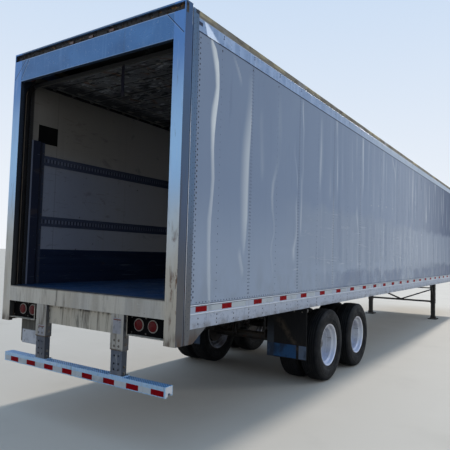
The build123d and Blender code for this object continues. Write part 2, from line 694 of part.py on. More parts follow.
# Door tracks: a channel each side that carries the door's rollers
with BuildPart() as door_tracks:
    for side in SIDES:
        back = Plane.XZ.offset(-side * INNER_HALF)
        with BuildSketch(back):
            door_path_band(-DOOR_TRACK_HALF, DOOR_TRACK_HALF)
        extrude(amount=side * DOOR_TRACK_WALL)
        for near in (-DOOR_TRACK_HALF, DOOR_TRACK_HALF - DOOR_TRACK_WALL):
            with BuildSketch(back):
                door_path_band(near, near + DOOR_TRACK_WALL)
            extrude(amount=side * DOOR_TRACK_WIDTH)
finish(door_tracks, "door_tracks")

# The raised door: flat sections end to end under the roof, the last one dipping towards the header
DOOR_HALF = INNER_HALF - DOOR_TRACK_WIDTH - 6.0
SECTION_PITCH = SECTION_HEIGHT + SECTION_GAP
DOOR_EDGE_X = REAR + DOOR_EDGE
DIP = math.asin(SECTION_SAG / SECTION_HEIGHT)
DOOR_RAIL_LENGTH = 34.0
DOOR_RAIL_DROP = 22.0

with BuildPart() as door_sections:
    for k in range(1, SECTION_COUNT):
        start = DOOR_EDGE_X + k * SECTION_PITCH
        z_range = (DOOR_PATH_Z - SECTION_THICK / 2, DOOR_PATH_Z + SECTION_THICK / 2)
        box((start, start + SECTION_HEIGHT), (-DOOR_HALF, DOOR_HALF), z_range)
    hinge = (DOOR_EDGE_X + SECTION_HEIGHT, DOOR_HALF, DOOR_PATH_Z)
    with BuildSketch(Plane(origin=hinge, x_dir=(math.cos(DIP), 0, math.sin(DIP)), z_dir=(0, -1, 0))):
        half, low = SECTION_THICK / 2, SECTION_THICK / 2 + DOOR_RAIL_DROP
        outline(
            [
                (-half, -half),
                (-half, half),
                (-SECTION_HEIGHT, half),
                (-SECTION_HEIGHT, -low),
                (-SECTION_HEIGHT + DOOR_RAIL_LENGTH, -low),
                (-SECTION_HEIGHT + DOOR_RAIL_LENGTH, -half),
            ]
        )
    extrude(amount=2 * DOOR_HALF)
finish(door_sections, "door_sections")

# Door hinges: a row of leaves under each joint, folded to follow the dipping section at the first one
HINGE_Y = (-1080.0, -540.0, 0.0, 540.0, 1080.0)
HINGE_WIDTH = 64.0
HINGE_LEAF = 46.0
HINGE_THICK = 3.0
HINGE_BARREL = 5.0

with BuildPart() as door_hinges:
    under = SECTION_THICK / 2
    with BuildSketch(*[Plane.XZ.offset(-y - HINGE_WIDTH / 2) for y in HINGE_Y]):
        for k in range(1, SECTION_COUNT):
            joint_x = DOOR_EDGE_X + SECTION_HEIGHT + (k - 1) * SECTION_PITCH
            tilt = math.degrees(DIP) if k == 1 else 0
            with Locations(Location((joint_x, DOOR_PATH_Z), tilt) * Location((0, -under))):
                Rectangle(HINGE_LEAF, HINGE_THICK, align=(Align.MAX, Align.MAX))
            with Locations((joint_x + SECTION_GAP / 2, DOOR_PATH_Z - under)):
                Rectangle(HINGE_LEAF, HINGE_THICK, align=(Align.MIN, Align.MAX))
            with Locations((joint_x + SECTION_GAP / 2, DOOR_PATH_Z - under - HINGE_THICK - HINGE_BARREL / 2)):
                Circle(HINGE_BARREL)
    extrude(amount=HINGE_WIDTH)
finish(door_hinges, "door_hinges")

# Door rollers, each with a stem from the edge of its section
with BuildPart() as door_rollers:
    roller = DOOR_TRACK_HALF - DOOR_TRACK_WALL - ROLLER_GAP
    for side in SIDES:
        for k in range(1, SECTION_COUNT + 1):
            x = DOOR_EDGE_X + k * SECTION_PITCH - SECTION_GAP / 2 + 20.0 * (1 if k < SECTION_COUNT else -1)
            tip = side * (INNER_HALF - DOOR_TRACK_WALL - 8.0)
            rod((x, side * (DOOR_HALF + SEAT_GAP), DOOR_PATH_Z), (x, tip, DOOR_PATH_Z), STEM_RADIUS)
            rod((x, tip - side * ROLLER_WIDTH, DOOR_PATH_Z), (x, tip, DOOR_PATH_Z), roller)
finish(door_rollers, "door_rollers")

# Balancer: the spring shaft behind the header, carried by an end plate on each post
with BuildPart() as door_balancer:
    shaft_x, shaft_z = REAR + 108.0, OPENING_TOP + 90.0
    rod((shaft_x, -OPENING_HALF, shaft_z), (shaft_x, OPENING_HALF, shaft_z), BALANCER_RADIUS)
    for side in SIDES:
        plate = sorted((side * OPENING_HALF, side * (INNER_HALF - SEAT_GAP)))
        box((shaft_x - 50.0, shaft_x + 10.0), plate, (shaft_z - 30.0, shaft_z + 55.0))
        rod((shaft_x, side * (OPENING_HALF - 60.0), shaft_z), (shaft_x, side * (OPENING_HALF - 20.0), shaft_z), 58.0)
finish(door_balancer, "door_balancer")

# Pull strap, hanging from the bottom rail of the raised door
DOOR_RAIL_LOW = SECTION_THICK / 2 + DOOR_RAIL_DROP
STRAP_X = DOOR_EDGE_X + SECTION_HEIGHT * (1 - math.cos(DIP)) + DOOR_RAIL_LOW * math.sin(DIP)
STRAP_TOP = DOOR_PATH_Z - SECTION_SAG - DOOR_RAIL_LOW * math.cos(DIP) - SEAT_GAP

with BuildPart() as door_strap:
    strap_y = (STRAP_Y - STRAP_WIDTH / 2, STRAP_Y + STRAP_WIDTH / 2)
    box((STRAP_X, STRAP_X + STRAP_THICK), strap_y, (STRAP_TOP - STRAP_DROP, STRAP_TOP))
finish(door_strap, "door_strap")

# Slide rails: channels under the crossmembers, with a row of lock pin holes
SLIDE_RAIL_LOW = CHASSIS_LOW - SLIDE_RAIL_DEPTH
SLIDE_RAIL_START = BOGIE_X - BOGIE_REAR - SLIDE_BACK - 60.0
SLIDE_RAIL_END = BOGIE_X + BOGIE_FRONT + SLIDE_FORWARD + 60.0
PIN_Z = (SLIDE_RAIL_LOW + CHASSIS_LOW) / 2
PIN_OFFSET = 914.4
FIRST_HOLE = BOGIE_X - PIN_OFFSET - SLIDE_BACK

with BuildPart() as slide_rails:
    for side in SIDES:
        outer, inner = SLIDE_Y + SLIDE_RAIL_WIDTH / 2, SLIDE_Y - SLIDE_RAIL_WIDTH / 2
        wall = SLIDE_RAIL_WALL
        with BuildSketch(Plane.YZ.offset(SLIDE_RAIL_START)):
            outline(
                [
                    (side * inner, SLIDE_RAIL_LOW),
                    (side * outer, SLIDE_RAIL_LOW),
                    (side * outer, CHASSIS_LOW),
                    (side * inner, CHASSIS_LOW),
                    (side * inner, CHASSIS_LOW - wall),
                    (side * (outer - wall), CHASSIS_LOW - wall),
                    (side * (outer - wall), SLIDE_RAIL_LOW + wall),
                    (side * inner, SLIDE_RAIL_LOW + wall),
                ]
            )
        extrude(amount=SLIDE_RAIL_END - SLIDE_RAIL_START)
        with BuildSketch(Plane.XZ.offset(-side * (outer + 1.0))):
            for k in range(PIN_HOLES):
                with Locations((FIRST_HOLE + k * PIN_PITCH, PIN_Z)):
                    Circle(PIN_RADIUS + PIN_HOLE_GAP)
        extrude(amount=side * (wall + 2.0), mode=Mode.SUBTRACT)
finish(slide_rails, "slide_rails")

# Bogie frame: two box rails under the slide rails, joined by cross channels
BOGIE_TOP = SLIDE_RAIL_LOW - SLIDE_GAP
BOGIE_LOW = BOGIE_TOP - BOGIE_RAIL_DEPTH
CROSS_X = (-1420.0, -300.0, 300.0, 1270.0)

with BuildPart() as bogie_frame:
    for side in SIDES:
        half, wall = BOGIE_RAIL_WIDTH / 2, BOGIE_RAIL_WALL
        x_range = (BOGIE_X - BOGIE_REAR, BOGIE_X + BOGIE_FRONT)
        y = side * SLIDE_Y
        box(x_range, (y - half, y + half), (BOGIE_LOW, BOGIE_TOP))
    for x in CROSS_X:
        across = (-SLIDE_Y + half, SLIDE_Y - half)
        box((BOGIE_X + x - 30.0, BOGIE_X + x + 30.0), across, (BOGIE_LOW + 10.0, BOGIE_TOP - 10.0))
        box((BOGIE_X + x - 24.0, BOGIE_X + x + 31.0), across, (BOGIE_LOW + 16.0, BOGIE_TOP - 16.0), Mode.SUBTRACT)
    for side in SIDES:
        y = side * SLIDE_Y
        hollow_y = (y - half + wall, y + half - wall)
        box(x_range, hollow_y, (BOGIE_LOW + wall, BOGIE_TOP - wall), Mode.SUBTRACT)
finish(bogie_frame, "bogie_frame")

# Lock pins, drawn back from the slide rails, on the brackets and the pull rods that work them
PIN_TIP = SLIDE_Y + SLIDE_RAIL_WIDTH / 2 - SLIDE_RAIL_WALL - 6.0
BRACKET_Y = SLIDE_Y - BOGIE_RAIL_WIDTH / 2 - 44.0

with BuildPart() as lock_pins:
    for side in SIDES:
        plate_y = sorted((side * BRACKET_Y, side * (BRACKET_Y - 10.0)))
        for dx in (-PIN_OFFSET, PIN_OFFSET):
            x = BOGIE_X + dx
            box((x - 45.0, x + 45.0), plate_y, (BOGIE_LOW + 20.0, PIN_Z + 34.0))
            foot_y = sorted((side * (SLIDE_Y - BOGIE_RAIL_WIDTH / 2), side * BRACKET_Y))
            box((x - 45.0, x + 45.0), foot_y, (BOGIE_LOW + 20.0, BOGIE_LOW + 32.0))
            rod((x, side * (BRACKET_Y - 60.0), PIN_Z), (x, side * PIN_TIP, PIN_Z), PIN_RADIUS)
        rod_y = side * (BRACKET_Y - 40.0)
        rod((BOGIE_X - PIN_OFFSET - 20.0, rod_y, PIN_Z), (BOGIE_X + PIN_OFFSET + 20.0, rod_y, PIN_Z), 9.0)
finish(lock_pins, "lock_pins")

# Spring hangers: paired plates under the rails, with a wear pad over each spring end
SEAT_TOP = AXLE_Z + AXLE_RADIUS + SEAT_HEIGHT
PACK_THICK = 3 * LEAF_THICK
LEAF_END_TOP = SEAT_TOP + PACK_THICK + SPRING_CAMBER
HANGER_HALF = SPRING_WIDTH / 2 + HANGER_GAP
HANGER_FOOT = SEAT_TOP - 20.0
ROD_PIVOT_Z = AXLE_Z + 40.0
END_HANGER = AXLE_SPACING / 2 + SPRING_HALF
PIVOT_Z = LEAF_END_TOP + 95.0

HANGERS = (
    # place along the bogie, half length at the top, half length at the foot, foot height
    (END_HANGER, 120.0, 62.0, ROD_PIVOT_Z - 45.0),
    (0.0, 150.0, 55.0, ROD_PIVOT_Z - 45.0),
    (-END_HANGER, 120.0, 62.0, HANGER_FOOT),
)

with BuildPart() as spring_hangers:
    for side in SIDES:
        for x, top_half, foot_half, foot in HANGERS:
            for edge in (-HANGER_HALF - HANGER_WALL, HANGER_HALF):
                plate_y = side * SLIDE_Y + edge
                with BuildSketch(Plane.XZ.offset(-plate_y - HANGER_WALL)):
                    outline(
                        [
                            (BOGIE_X + x - top_half, BOGIE_LOW),
                            (BOGIE_X + x + top_half, BOGIE_LOW),
                            (BOGIE_X + x + foot_half, BOGIE_LOW - 130.0),
                            (BOGIE_X + x + foot_half, foot),
                            (BOGIE_X + x - foot_half, foot),
                            (BOGIE_X + x - foot_half, BOGIE_LOW - 130.0),
                        ]
                    )
                extrude(amount=HANGER_WALL)
            between = (side * SLIDE_Y - HANGER_HALF, side * SLIDE_Y + HANGER_HALF)
            box((BOGIE_X + x - top_half, BOGIE_X + x + top_half), between, (BOGIE_LOW - HANGER_WALL, BOGIE_LOW))
            if x:
                pad = (BOGIE_X + x - foot_half, BOGIE_X + x + foot_half)
                box(pad, between, (LEAF_END_TOP + SEAT_GAP, LEAF_END_TOP + 30.0))
finish(spring_hangers, "spring_hangers")

# Equalizers: a rocker on the centre hanger's pin, its arms resting on the two spring ends
with BuildPart() as equalizers:
    for side in SIDES:
        with BuildSketch(Plane.XZ.offset(-(side * SLIDE_Y + SPRING_WIDTH / 2))):
            arm, pad = EQUALIZER_REACH, LEAF_END_TOP + SEAT_GAP
            outline(
                [
                    (BOGIE_X - arm, pad),
                    (BOGIE_X - arm + 70.0, pad),
                    (BOGIE_X, PIVOT_Z - 55.0),
                    (BOGIE_X + arm - 70.0, pad),
                    (BOGIE_X + arm, pad),
                    (BOGIE_X + arm, pad + 24.0),
                    (BOGIE_X + 45.0, PIVOT_Z + 40.0),
                    (BOGIE_X - 45.0, PIVOT_Z + 40.0),
                    (BOGIE_X - arm, pad + 24.0),
                ]
            )
        extrude(amount=SPRING_WIDTH)
        for edge in (-1, 1):
            boss = side * SLIDE_Y + edge * (HANGER_HALF + HANGER_WALL + SEAT_GAP)
            rod((BOGIE_X, boss, PIVOT_Z), (BOGIE_X, boss + edge * 14.0, PIVOT_Z), PIVOT_RADIUS)
finish(equalizers, "equalizers")

# Leaf springs: three arched leaves, the shorter ones below, over each end of each axle
LEAF_BEND = (SPRING_HALF**2 + SPRING_CAMBER**2) / (2 * SPRING_CAMBER)
LEAVES = (
    # place in the pack from the top, half length
    (0, SPRING_HALF),
    (1, 0.8 * SPRING_HALF),
    (2, 0.58 * SPRING_HALF),
)

with BuildPart() as leaf_springs:
    for side in SIDES:
        for axle_x in AXLES:
            bend_centre = (axle_x, SEAT_TOP + PACK_THICK - LEAF_THICK + LEAF_BEND)
            with BuildSketch(Plane.XZ.offset(-(side * SLIDE_Y + SPRING_WIDTH / 2))):
                for place, half_length in LEAVES:
                    upper = LEAF_BEND - LEAF_THICK + place * LEAF_THICK
                    spread = math.degrees(math.asin(half_length / LEAF_BEND))
                    with BuildLine():
                        arcs = [CenterArc(bend_centre, r, 270 - spread, 2 * spread) for r in (upper, upper + LEAF_THICK)]
                        Line(arcs[0] @ 0, arcs[1] @ 0)
                        Line(arcs[0] @ 1, arcs[1] @ 1)
                    make_face()
            extrude(amount=SPRING_WIDTH)
finish(leaf_springs, "leaf_springs")

# Axles: tube, spring seats with their clamps, brake plates and spindles
SPINDLE_START = DUAL_CENTRE - 165.0
SPINDLE_END = DUAL_CENTRE + 118.0
BRAKE_PLATE_Y = DUAL_CENTRE - 220.0
BRAKE_PLATE_RADIUS = 190.0
CLAMP_HALF = 66.0
CLAMP_BOLT = 9.0
CLAMP_GAP = 0.5
ROD_EYE_X = 96.0

with BuildPart() as axles:
    for x in AXLES:
        rod((x, -SPINDLE_START, AXLE_Z), (x, SPINDLE_START, AXLE_Z), AXLE_RADIUS)
        rod((x, -SPINDLE_END, AXLE_Z), (x, SPINDLE_END, AXLE_Z), SPINDLE_RADIUS)
        for side in SIDES:
            y = side * SLIDE_Y
            box((x - CLAMP_HALF, x + CLAMP_HALF), (y - 52.0, y + 52.0), (AXLE_Z - 40.0, SEAT_TOP))
            box((x + CLAMP_HALF, x + ROD_EYE_X), (y - 26.0, y + 26.0), (AXLE_Z - 20.0, ROD_PIVOT_Z + 26.0))
            clamp_low = SEAT_TOP + PACK_THICK + 6.0
            box((x - CLAMP_HALF, x + CLAMP_HALF), (y - 60.0, y + 60.0), (clamp_low, clamp_low + 16.0))
            box((x - 40.0, x + 40.0), (y - 38.0, y + 38.0), (SEAT_TOP + PACK_THICK + CLAMP_GAP, clamp_low))
            for dx in (-48.0, 48.0):
                for dy in (-49.0, 49.0):
                    rod((x + dx, y + dy, SEAT_TOP - 60.0), (x + dx, y + dy, clamp_low + 34.0), CLAMP_BOLT)
            plate_y = side * BRAKE_PLATE_Y
            rod((x, plate_y - 5.0, AXLE_Z), (x, plate_y + 5.0, AXLE_Z), BRAKE_PLATE_RADIUS)
finish(axles, "axles")

# Radius rods: from each hanger's foot back to the axle behind it
ROD_EYE = 30.0

with BuildPart() as radius_rods:
    for side in SIDES:
        for pivot_x, axle_x in ((BOGIE_X + END_HANGER, AXLES[1]), (BOGIE_X, AXLES[0])):
            y = side * SLIDE_Y
            seat_x = axle_x + ROD_EYE_X + ROD_EYE + SEAT_GAP
            rod((seat_x, y, ROD_PIVOT_Z), (pivot_x, y, ROD_PIVOT_Z), 17.0)
            for x, eye_half in ((seat_x, 26.0), (pivot_x, HANGER_HALF - SEAT_GAP)):
                rod((x, y - eye_half, ROD_PIVOT_Z), (x, y + eye_half, ROD_PIVOT_Z), ROD_EYE)
finish(radius_rods, "radius_rods")

# Brake chambers: behind each axle, with the cam tube that runs out to the brake plate
CHAMBER_Y = 330.0
CHAMBER_RADIUS = 78.0
CHAMBER_LENGTH = 190.0
CAM_RISE = 18.0
CAM_X = 118.0

with BuildPart() as brake_chambers:
    for axle_x in AXLES:
        for side in SIDES:
            cam_x, cam_z = axle_x - CAM_X, AXLE_Z + CAM_RISE
            y = side * CHAMBER_Y
            box((cam_x - 30.0, axle_x), (y - 8.0, y + 8.0), (AXLE_Z - 40.0, cam_z + 150.0))
            rod((cam_x, side * (CHAMBER_Y - 60.0), cam_z), (cam_x, side * (BRAKE_PLATE_Y - 5.0), cam_z), 19.0)
            arm_y = sorted((side * (CHAMBER_Y - 58.0), side * (CHAMBER_Y - 34.0)))
            box((cam_x - 22.0, cam_x + 22.0), arm_y, (cam_z, cam_z + 150.0))
            start = axle_x - CAM_X + 30.0
            chamber_z = cam_z + 150.0 + CHAMBER_RADIUS - 30.0
            chamber_y = side * (CHAMBER_Y - 46.0)
            rod((start, chamber_y, chamber_z), (start + CHAMBER_LENGTH, chamber_y, chamber_z), CHAMBER_RADIUS)
            band = start + CHAMBER_LENGTH * 0.45
            rod((band, chamber_y, chamber_z), (band + 24.0, chamber_y, chamber_z), CHAMBER_RADIUS + 12.0)
            box((start - 12.0, start), (y - 100.0 * (side > 0) - 8.0, y + 100.0 * (side < 0) + 8.0),
                (cam_z + 60.0, chamber_z + 50.0))
        # The tube itself is left open for the axle
        rod((axle_x, -SPINDLE_START, AXLE_Z), (axle_x, SPINDLE_START, AXLE_Z), AXLE_RADIUS, Mode.SUBTRACT)
finish(brake_chambers, "brake_chambers")

# Mud flaps, hung from a bar on each bogie rail
FLAP_X = REAR + 2950.0
FLAP_BAR = 44.0
FLAP_TOP = BOGIE_LOW + 70.0

with BuildPart() as flap_bars:
    for side in SIDES:
        bar_y = sorted((side * (SLIDE_Y + BOGIE_RAIL_WIDTH / 2), side * (FLAP_INNER + FLAP_WIDTH)))
        box((FLAP_X, FLAP_X + FLAP_BAR), bar_y, (FLAP_TOP - FLAP_BAR, FLAP_TOP))
finish(flap_bars, "flap_bars")

with BuildPart() as mud_flaps:
    for side in SIDES:
        flap_y = sorted((side * FLAP_INNER, side * (FLAP_INNER + FLAP_WIDTH)))
        box((FLAP_X - SEAT_GAP - FLAP_THICK, FLAP_X - SEAT_GAP), flap_y, (FLAP_LOW, FLAP_TOP))
finish(mud_flaps, "mud_flaps")


def at_wheel(side, points):
    """Points given as distance outward from between the twin discs, and radius, as a face."""
    outline([(side * (DUAL_CENTRE + out), AXLE_Z + radius) for out, radius in points])


RIM_OUTER = (
    # out from the rim's middle, radius, on the tyre's side
    (-113.0, 302.0),
    (-104.0, 302.0),
    (-100.0, 288.3),
    (-60.0, 277.6),
    (-42.0, 252.0),
    (42.0, 252.0),
    (60.0, 277.6),
    (100.0, 288.3),
    (104.0, 302.0),
    (113.0, 302.0),
)
RIM_INNER = (
    # out from the rim's middle, radius, on the hub's side
    (113.0, 296.0),
    (106.0, 280.0),
    (66.0, 269.6),
    (48.0, 244.0),
    (-48.0, 244.0),
    (-66.0, 269.6),
    (-106.0, 280.0),
    (-113.0, 296.0),
)
DISC_SECTION = (
    # out from the mounting face, radius
    (0.0, 110.0),
    (11.0, 110.0),
    (11.0, 172.0),
    (70.0, 226.0),
    (126.0, 236.0),
    (152.0, 236.0),
    (152.0, 246.0),
    (124.0, 246.0),
    (62.0, 236.0),
    (0.0, 180.0),
)
HUB_SECTION = (
    # out from between the discs, radius
    (-140.0, 42.5),
    (-140.0, 92.0),
    (-37.0, 100.0),
    (-37.0, 150.0),
    (-23.0, 150.0),
    (-68.0, 190.0),
    (-84.0, 200.0),
    (-196.0, 200.0),
    (-196.0, 214.0),
    (-84.0, 214.0),
    (-64.0, 204.0),
    (-11.0, 160.0),
    (-11.0, 110.5),
    (18.0, 110.5),
    (26.0, 92.0),
    (104.0, 76.0),
    (110.0, 74.0),
    (150.0, 70.0),
    (162.0, 58.0),
    (162.0, 0.0),
    (150.0, 0.0),
    (144.0, 42.5),
)
TYRE_OUTER = (
    # out from the tyre's middle, radius, from bead heel to crown
    (99.0, 288.45),
    (104.0, 304.0),
    (134.0, 356.0),
    (139.5, 405.0),
    (131.0, 472.0),
    (TREAD_WIDTH / 2, TYRE_RADIUS - 6.0),
    (TREAD_WIDTH / 4, TYRE_RADIUS),
)
TYRE_INNER = (
    # out from the tyre's middle, radius, from bead toe to crown
    (62.0, 278.55),
    (98.0, 316.0),
    (121.0, 404.0),
    (98.0, 490.0),
)
HAND_HOLES = 5
HAND_HOLE_RADIUS = 20.0
HAND_HOLE_CIRCLE = 204.0
HAND_HOLE_REACH = 90.0
TWINS = (-DUAL_SPACING / 2, DUAL_SPACING / 2)
WHEELS = (
    # name, which axle, side
    ("rear_left", AXLES[0], 1),
    ("rear_right", AXLES[0], -1),
    ("front_left", AXLES[1], 1),
    ("front_right", AXLES[1], -1),
)

for place, axle_x, side in WHEELS:
    spin = Axis((axle_x, 0, AXLE_Z), (0, 1, 0))

    # Twin wheels: two rims on back-to-back discs, with the hub and the brake drum that turn with them
    with BuildPart() as wheel:
        with BuildSketch(Plane.YZ.offset(axle_x)):
            for twin in TWINS:
                at_wheel(side, [(twin + out, radius) for out, radius in RIM_OUTER + RIM_INNER])
                facing = 1 if twin > 0 else -1
                at_wheel(side, [(facing * out, radius) for out, radius in DISC_SECTION])
        revolve(axis=spin)
        with BuildSketch(Plane(origin=(axle_x, side * DUAL_CENTRE, AXLE_Z), x_dir=(0, 0, 1), z_dir=(0, 1, 0))):
            with PolarLocations(HAND_HOLE_CIRCLE, HAND_HOLES):
                Circle(HAND_HOLE_RADIUS)
        extrude(amount=HAND_HOLE_REACH, both=True, mode=Mode.SUBTRACT)
        with BuildSketch(Plane.YZ.offset(axle_x)):
            at_wheel(side, HUB_SECTION)
        revolve(axis=spin)
    finish(wheel, f"wheel_{place}")

    # Twin tyres, hollow, on the rims' bead seats
    with BuildPart() as tyres:
        with BuildSketch(Plane.YZ.offset(axle_x)):
            for twin in TWINS:
                for edge in SIDES:
                    half = TYRE_OUTER + ((0, TYRE_RADIUS), (0, TYRE_INNER[-1][1])) + TYRE_INNER[::-1]
                    at_wheel(side, [(twin + edge * out, radius) for out, radius in half])
        revolve(axis=spin)
    finish(tyres, f"tyres_{place}")

# Coupler: the pick-up plate under the nose, and the beams between it and the crossmembers
COUPLER_HALF = SKIN_HALF - RAIL_WEB - SEAT_GAP
COUPLER_FRONT = FRONT - SKIN_INSET - RAIL_WEB - SEAT_GAP
COUPLER_REAR = COUPLER_FRONT - COUPLER_LENGTH
COUPLER_TOP = BOTTOM_RAIL_LOW + COUPLER_THICK
COUPLER_RIBS = (-1200.0, -800.0, -400.0, 400.0, 800.0, 1200.0)
KINGPIN_X = FRONT - KINGPIN_FROM_FRONT
LEDGE_LOW = CHASSIS_LOW - RAIL_FLANGE

with BuildPart() as coupler_plate:
    plate_z = (BOTTOM_RAIL_LOW, COUPLER_TOP)
    box((COUPLER_REAR, COUPLER_FRONT), (-COUPLER_HALF, COUPLER_HALF), plate_z)
    with Locations((KINGPIN_X, 0, BOTTOM_RAIL_LOW)):
        Cylinder(KINGPIN_SHANK + SEAT_GAP, 2 * COUPLER_THICK + 1, mode=Mode.SUBTRACT)
    nose_corners = coupler_plate.edges().filter_by(Axis.Z).group_by(Axis.X)[-1]
    fillet(nose_corners, CORNER_RADIUS - SKIN_INSET - RAIL_WEB)
    for y in COUPLER_RIBS:
        box((COUPLER_REAR, COUPLER_FRONT - CORNER_RADIUS), (y - 5.0, y + 5.0), (COUPLER_TOP, CHASSIS_LOW))
    for x in (COUPLER_REAR, KINGPIN_X - 300.0, KINGPIN_X + 300.0):
        box((x, x + 10.0), (COUPLER_RIBS[0], COUPLER_RIBS[-1]), (COUPLER_TOP, CHASSIS_LOW))
finish(coupler_plate, "coupler_plate")

# Kingpin: shank, neck and bottom collar, through the pick-up plate from a disc that lies on it
KINGPIN_DISC_RADIUS = 90.0
KINGPIN_DISC_THICK = 14.0

with BuildPart() as kingpin:
    shank, neck, collar = KINGPIN_STEPS
    neck_top = BOTTOM_RAIL_LOW - shank
    collar_top = neck_top - neck
    with BuildSketch(Plane.XZ):
        outline(
            [
                (KINGPIN_X, collar_top - collar),
                (KINGPIN_X + KINGPIN_COLLAR, collar_top - collar),
                (KINGPIN_X + KINGPIN_COLLAR, collar_top),
                (KINGPIN_X + KINGPIN_NECK, collar_top),
                (KINGPIN_X + KINGPIN_NECK, neck_top),
                (KINGPIN_X + KINGPIN_SHANK, neck_top),
                (KINGPIN_X + KINGPIN_SHANK, COUPLER_TOP),
                (KINGPIN_X + KINGPIN_DISC_RADIUS, COUPLER_TOP),
                (KINGPIN_X + KINGPIN_DISC_RADIUS, COUPLER_TOP + KINGPIN_DISC_THICK),
                (KINGPIN_X, COUPLER_TOP + KINGPIN_DISC_THICK),
            ]
        )
    revolve(axis=Axis((KINGPIN_X, 0, 0), (0, 0, 1)))
finish(kingpin, "kingpin")

# Landing legs: square tubes under a mounting plate, each with the ram and foot it lets down
LEG_X = REAR + LEG_FROM_REAR
RAM_HALF = LEG_SIZE / 2 - LEG_WALL - SEAT_GAP
LEG_PLATE_HALF = 270.0
FOOT_PIN_Z = 62.0

with BuildPart() as landing_legs:
    for side in SIDES:
        y = side * LEG_Y
        half, bore = LEG_SIZE / 2, LEG_SIZE / 2 - LEG_WALL
        box((LEG_X - half, LEG_X + half), (y - half, y + half), (LEG_LOW, CHASSIS_LOW - 12.0))
        box((LEG_X - bore, LEG_X + bore), (y - bore, y + bore), (LEG_LOW, CHASSIS_LOW - 12.0), Mode.SUBTRACT)
        box((LEG_X - LEG_PLATE_HALF, LEG_X + LEG_PLATE_HALF), (y - 90.0, y + 90.0), (CHASSIS_LOW - 12.0, CHASSIS_LOW))
finish(landing_legs, "landing_legs")

with BuildPart() as landing_feet:
    for side in SIDES:
        y = side * LEG_Y
        box((LEG_X - RAM_HALF, LEG_X + RAM_HALF), (y - RAM_HALF, y + RAM_HALF), (FOOT_PIN_Z - 20.0, LEG_LOW + 180.0))
        rod((LEG_X, y - 78.0, FOOT_PIN_Z), (LEG_X, y + 78.0, FOOT_PIN_Z), 14.0)
        for edge in (-68.0, 58.0):
            box((LEG_X - 40.0, LEG_X + 40.0), (y + edge, y + edge + 10.0), (8.0, FOOT_PIN_Z + 26.0))
        box((LEG_X - FOOT_LENGTH / 2, LEG_X + FOOT_LENGTH / 2), (y - FOOT_WIDTH / 2, y + FOOT_WIDTH / 2), (0, 8.0))
        for edge in (-1, 1):
            lip = sorted((LEG_X + edge * FOOT_LENGTH / 2, LEG_X + edge * (FOOT_LENGTH / 2 - 8.0)))
            box(lip, (y - FOOT_WIDTH / 2, y + FOOT_WIDTH / 2), (0, 26.0))
finish(landing_feet, "landing_feet")

# Landing gear braces: a bar and a V between the legs, and a strut back from each leg
BRACE_LOW = 500.0
BRACE_V_TOP = 900.0
STRUT_FOOT = 640.0
STRUT_BACK = 525.0

with BuildPart() as landing_braces:
    inner = LEG_Y - LEG_SIZE / 2
    half = BRACE_SIZE / 2
    box((LEG_X - half, LEG_X + half), (-inner, inner), (BRACE_LOW, BRACE_LOW + BRACE_SIZE))
    for side in SIDES:
        with BuildSketch(Plane.YZ.offset(LEG_X - half)):
            outline(
                [
                    (0, BRACE_LOW + BRACE_SIZE),
                    (side * 90.0, BRACE_LOW + BRACE_SIZE),
                    (side * inner, BRACE_V_TOP - 36.0),
                    (side * inner, BRACE_V_TOP),
                    (0, BRACE_LOW + BRACE_SIZE + 10.0),
                ]
            )
        extrude(amount=BRACE_SIZE)
        strut_y = side * LEG_Y
        with BuildSketch(Plane.XZ.offset(-strut_y - half)):
            outline(
                [
                    (LEG_X - LEG_SIZE / 2, STRUT_FOOT),
                    (LEG_X - LEG_SIZE / 2, STRUT_FOOT + 60.0),
                    (LEG_X - STRUT_BACK + 30.0, CHASSIS_LOW),
                    (LEG_X - STRUT_BACK - 30.0, CHASSIS_LOW),
                ]
            )
        extrude(amount=BRACE_SIZE)
        foot_plate = (LEG_X - STRUT_BACK - 30.0, LEG_X - LEG_PLATE_HALF)
        box(foot_plate, (strut_y - half, strut_y + half), (CHASSIS_LOW - 12.0, CHASSIS_LOW))
finish(landing_braces, "landing_braces")

# Landing gear drive: gearbox on the left leg, the shaft across to the right leg, and the folded crank
GEARBOX_Z = 860.0
GEARBOX_SIZE = (150.0, 70.0, 190.0)
CRANK_RADIUS = 12.0

with BuildPart() as landing_drive:
    inner = LEG_Y - LEG_SIZE / 2
    length, width, height = GEARBOX_SIZE
    box((LEG_X - length / 2, LEG_X + length / 2), (LEG_Y + LEG_SIZE / 2, LEG_Y + LEG_SIZE / 2 + width),
        (GEARBOX_Z - height / 2, GEARBOX_Z + height / 2))
    rod((LEG_X, -inner, GEARBOX_Z + 70.0), (LEG_X, inner, GEARBOX_Z + 70.0), 17.0)
    crank_y = LEG_Y + LEG_SIZE / 2 + width
    crank_x = LEG_X - 40.0
    rod((crank_x, crank_y, GEARBOX_Z), (crank_x, crank_y + 120.0, GEARBOX_Z), CRANK_RADIUS)
    rod((crank_x, crank_y + 108.0, GEARBOX_Z), (crank_x + 330.0, crank_y + 108.0, GEARBOX_Z), CRANK_RADIUS)
    rod((crank_x + 318.0, crank_y + 108.0, GEARBOX_Z), (crank_x + 318.0, crank_y - 30.0, GEARBOX_Z), CRANK_RADIUS)
finish(landing_drive, "landing_drive")

# Nose fittings: the recess plate with the two air couplings and the seven-pin socket
NOSE_PLATE_Z = FLOOR_TOP + 130.0
COUPLING_Y = 230.0
SOCKET_RADIUS = 36.0

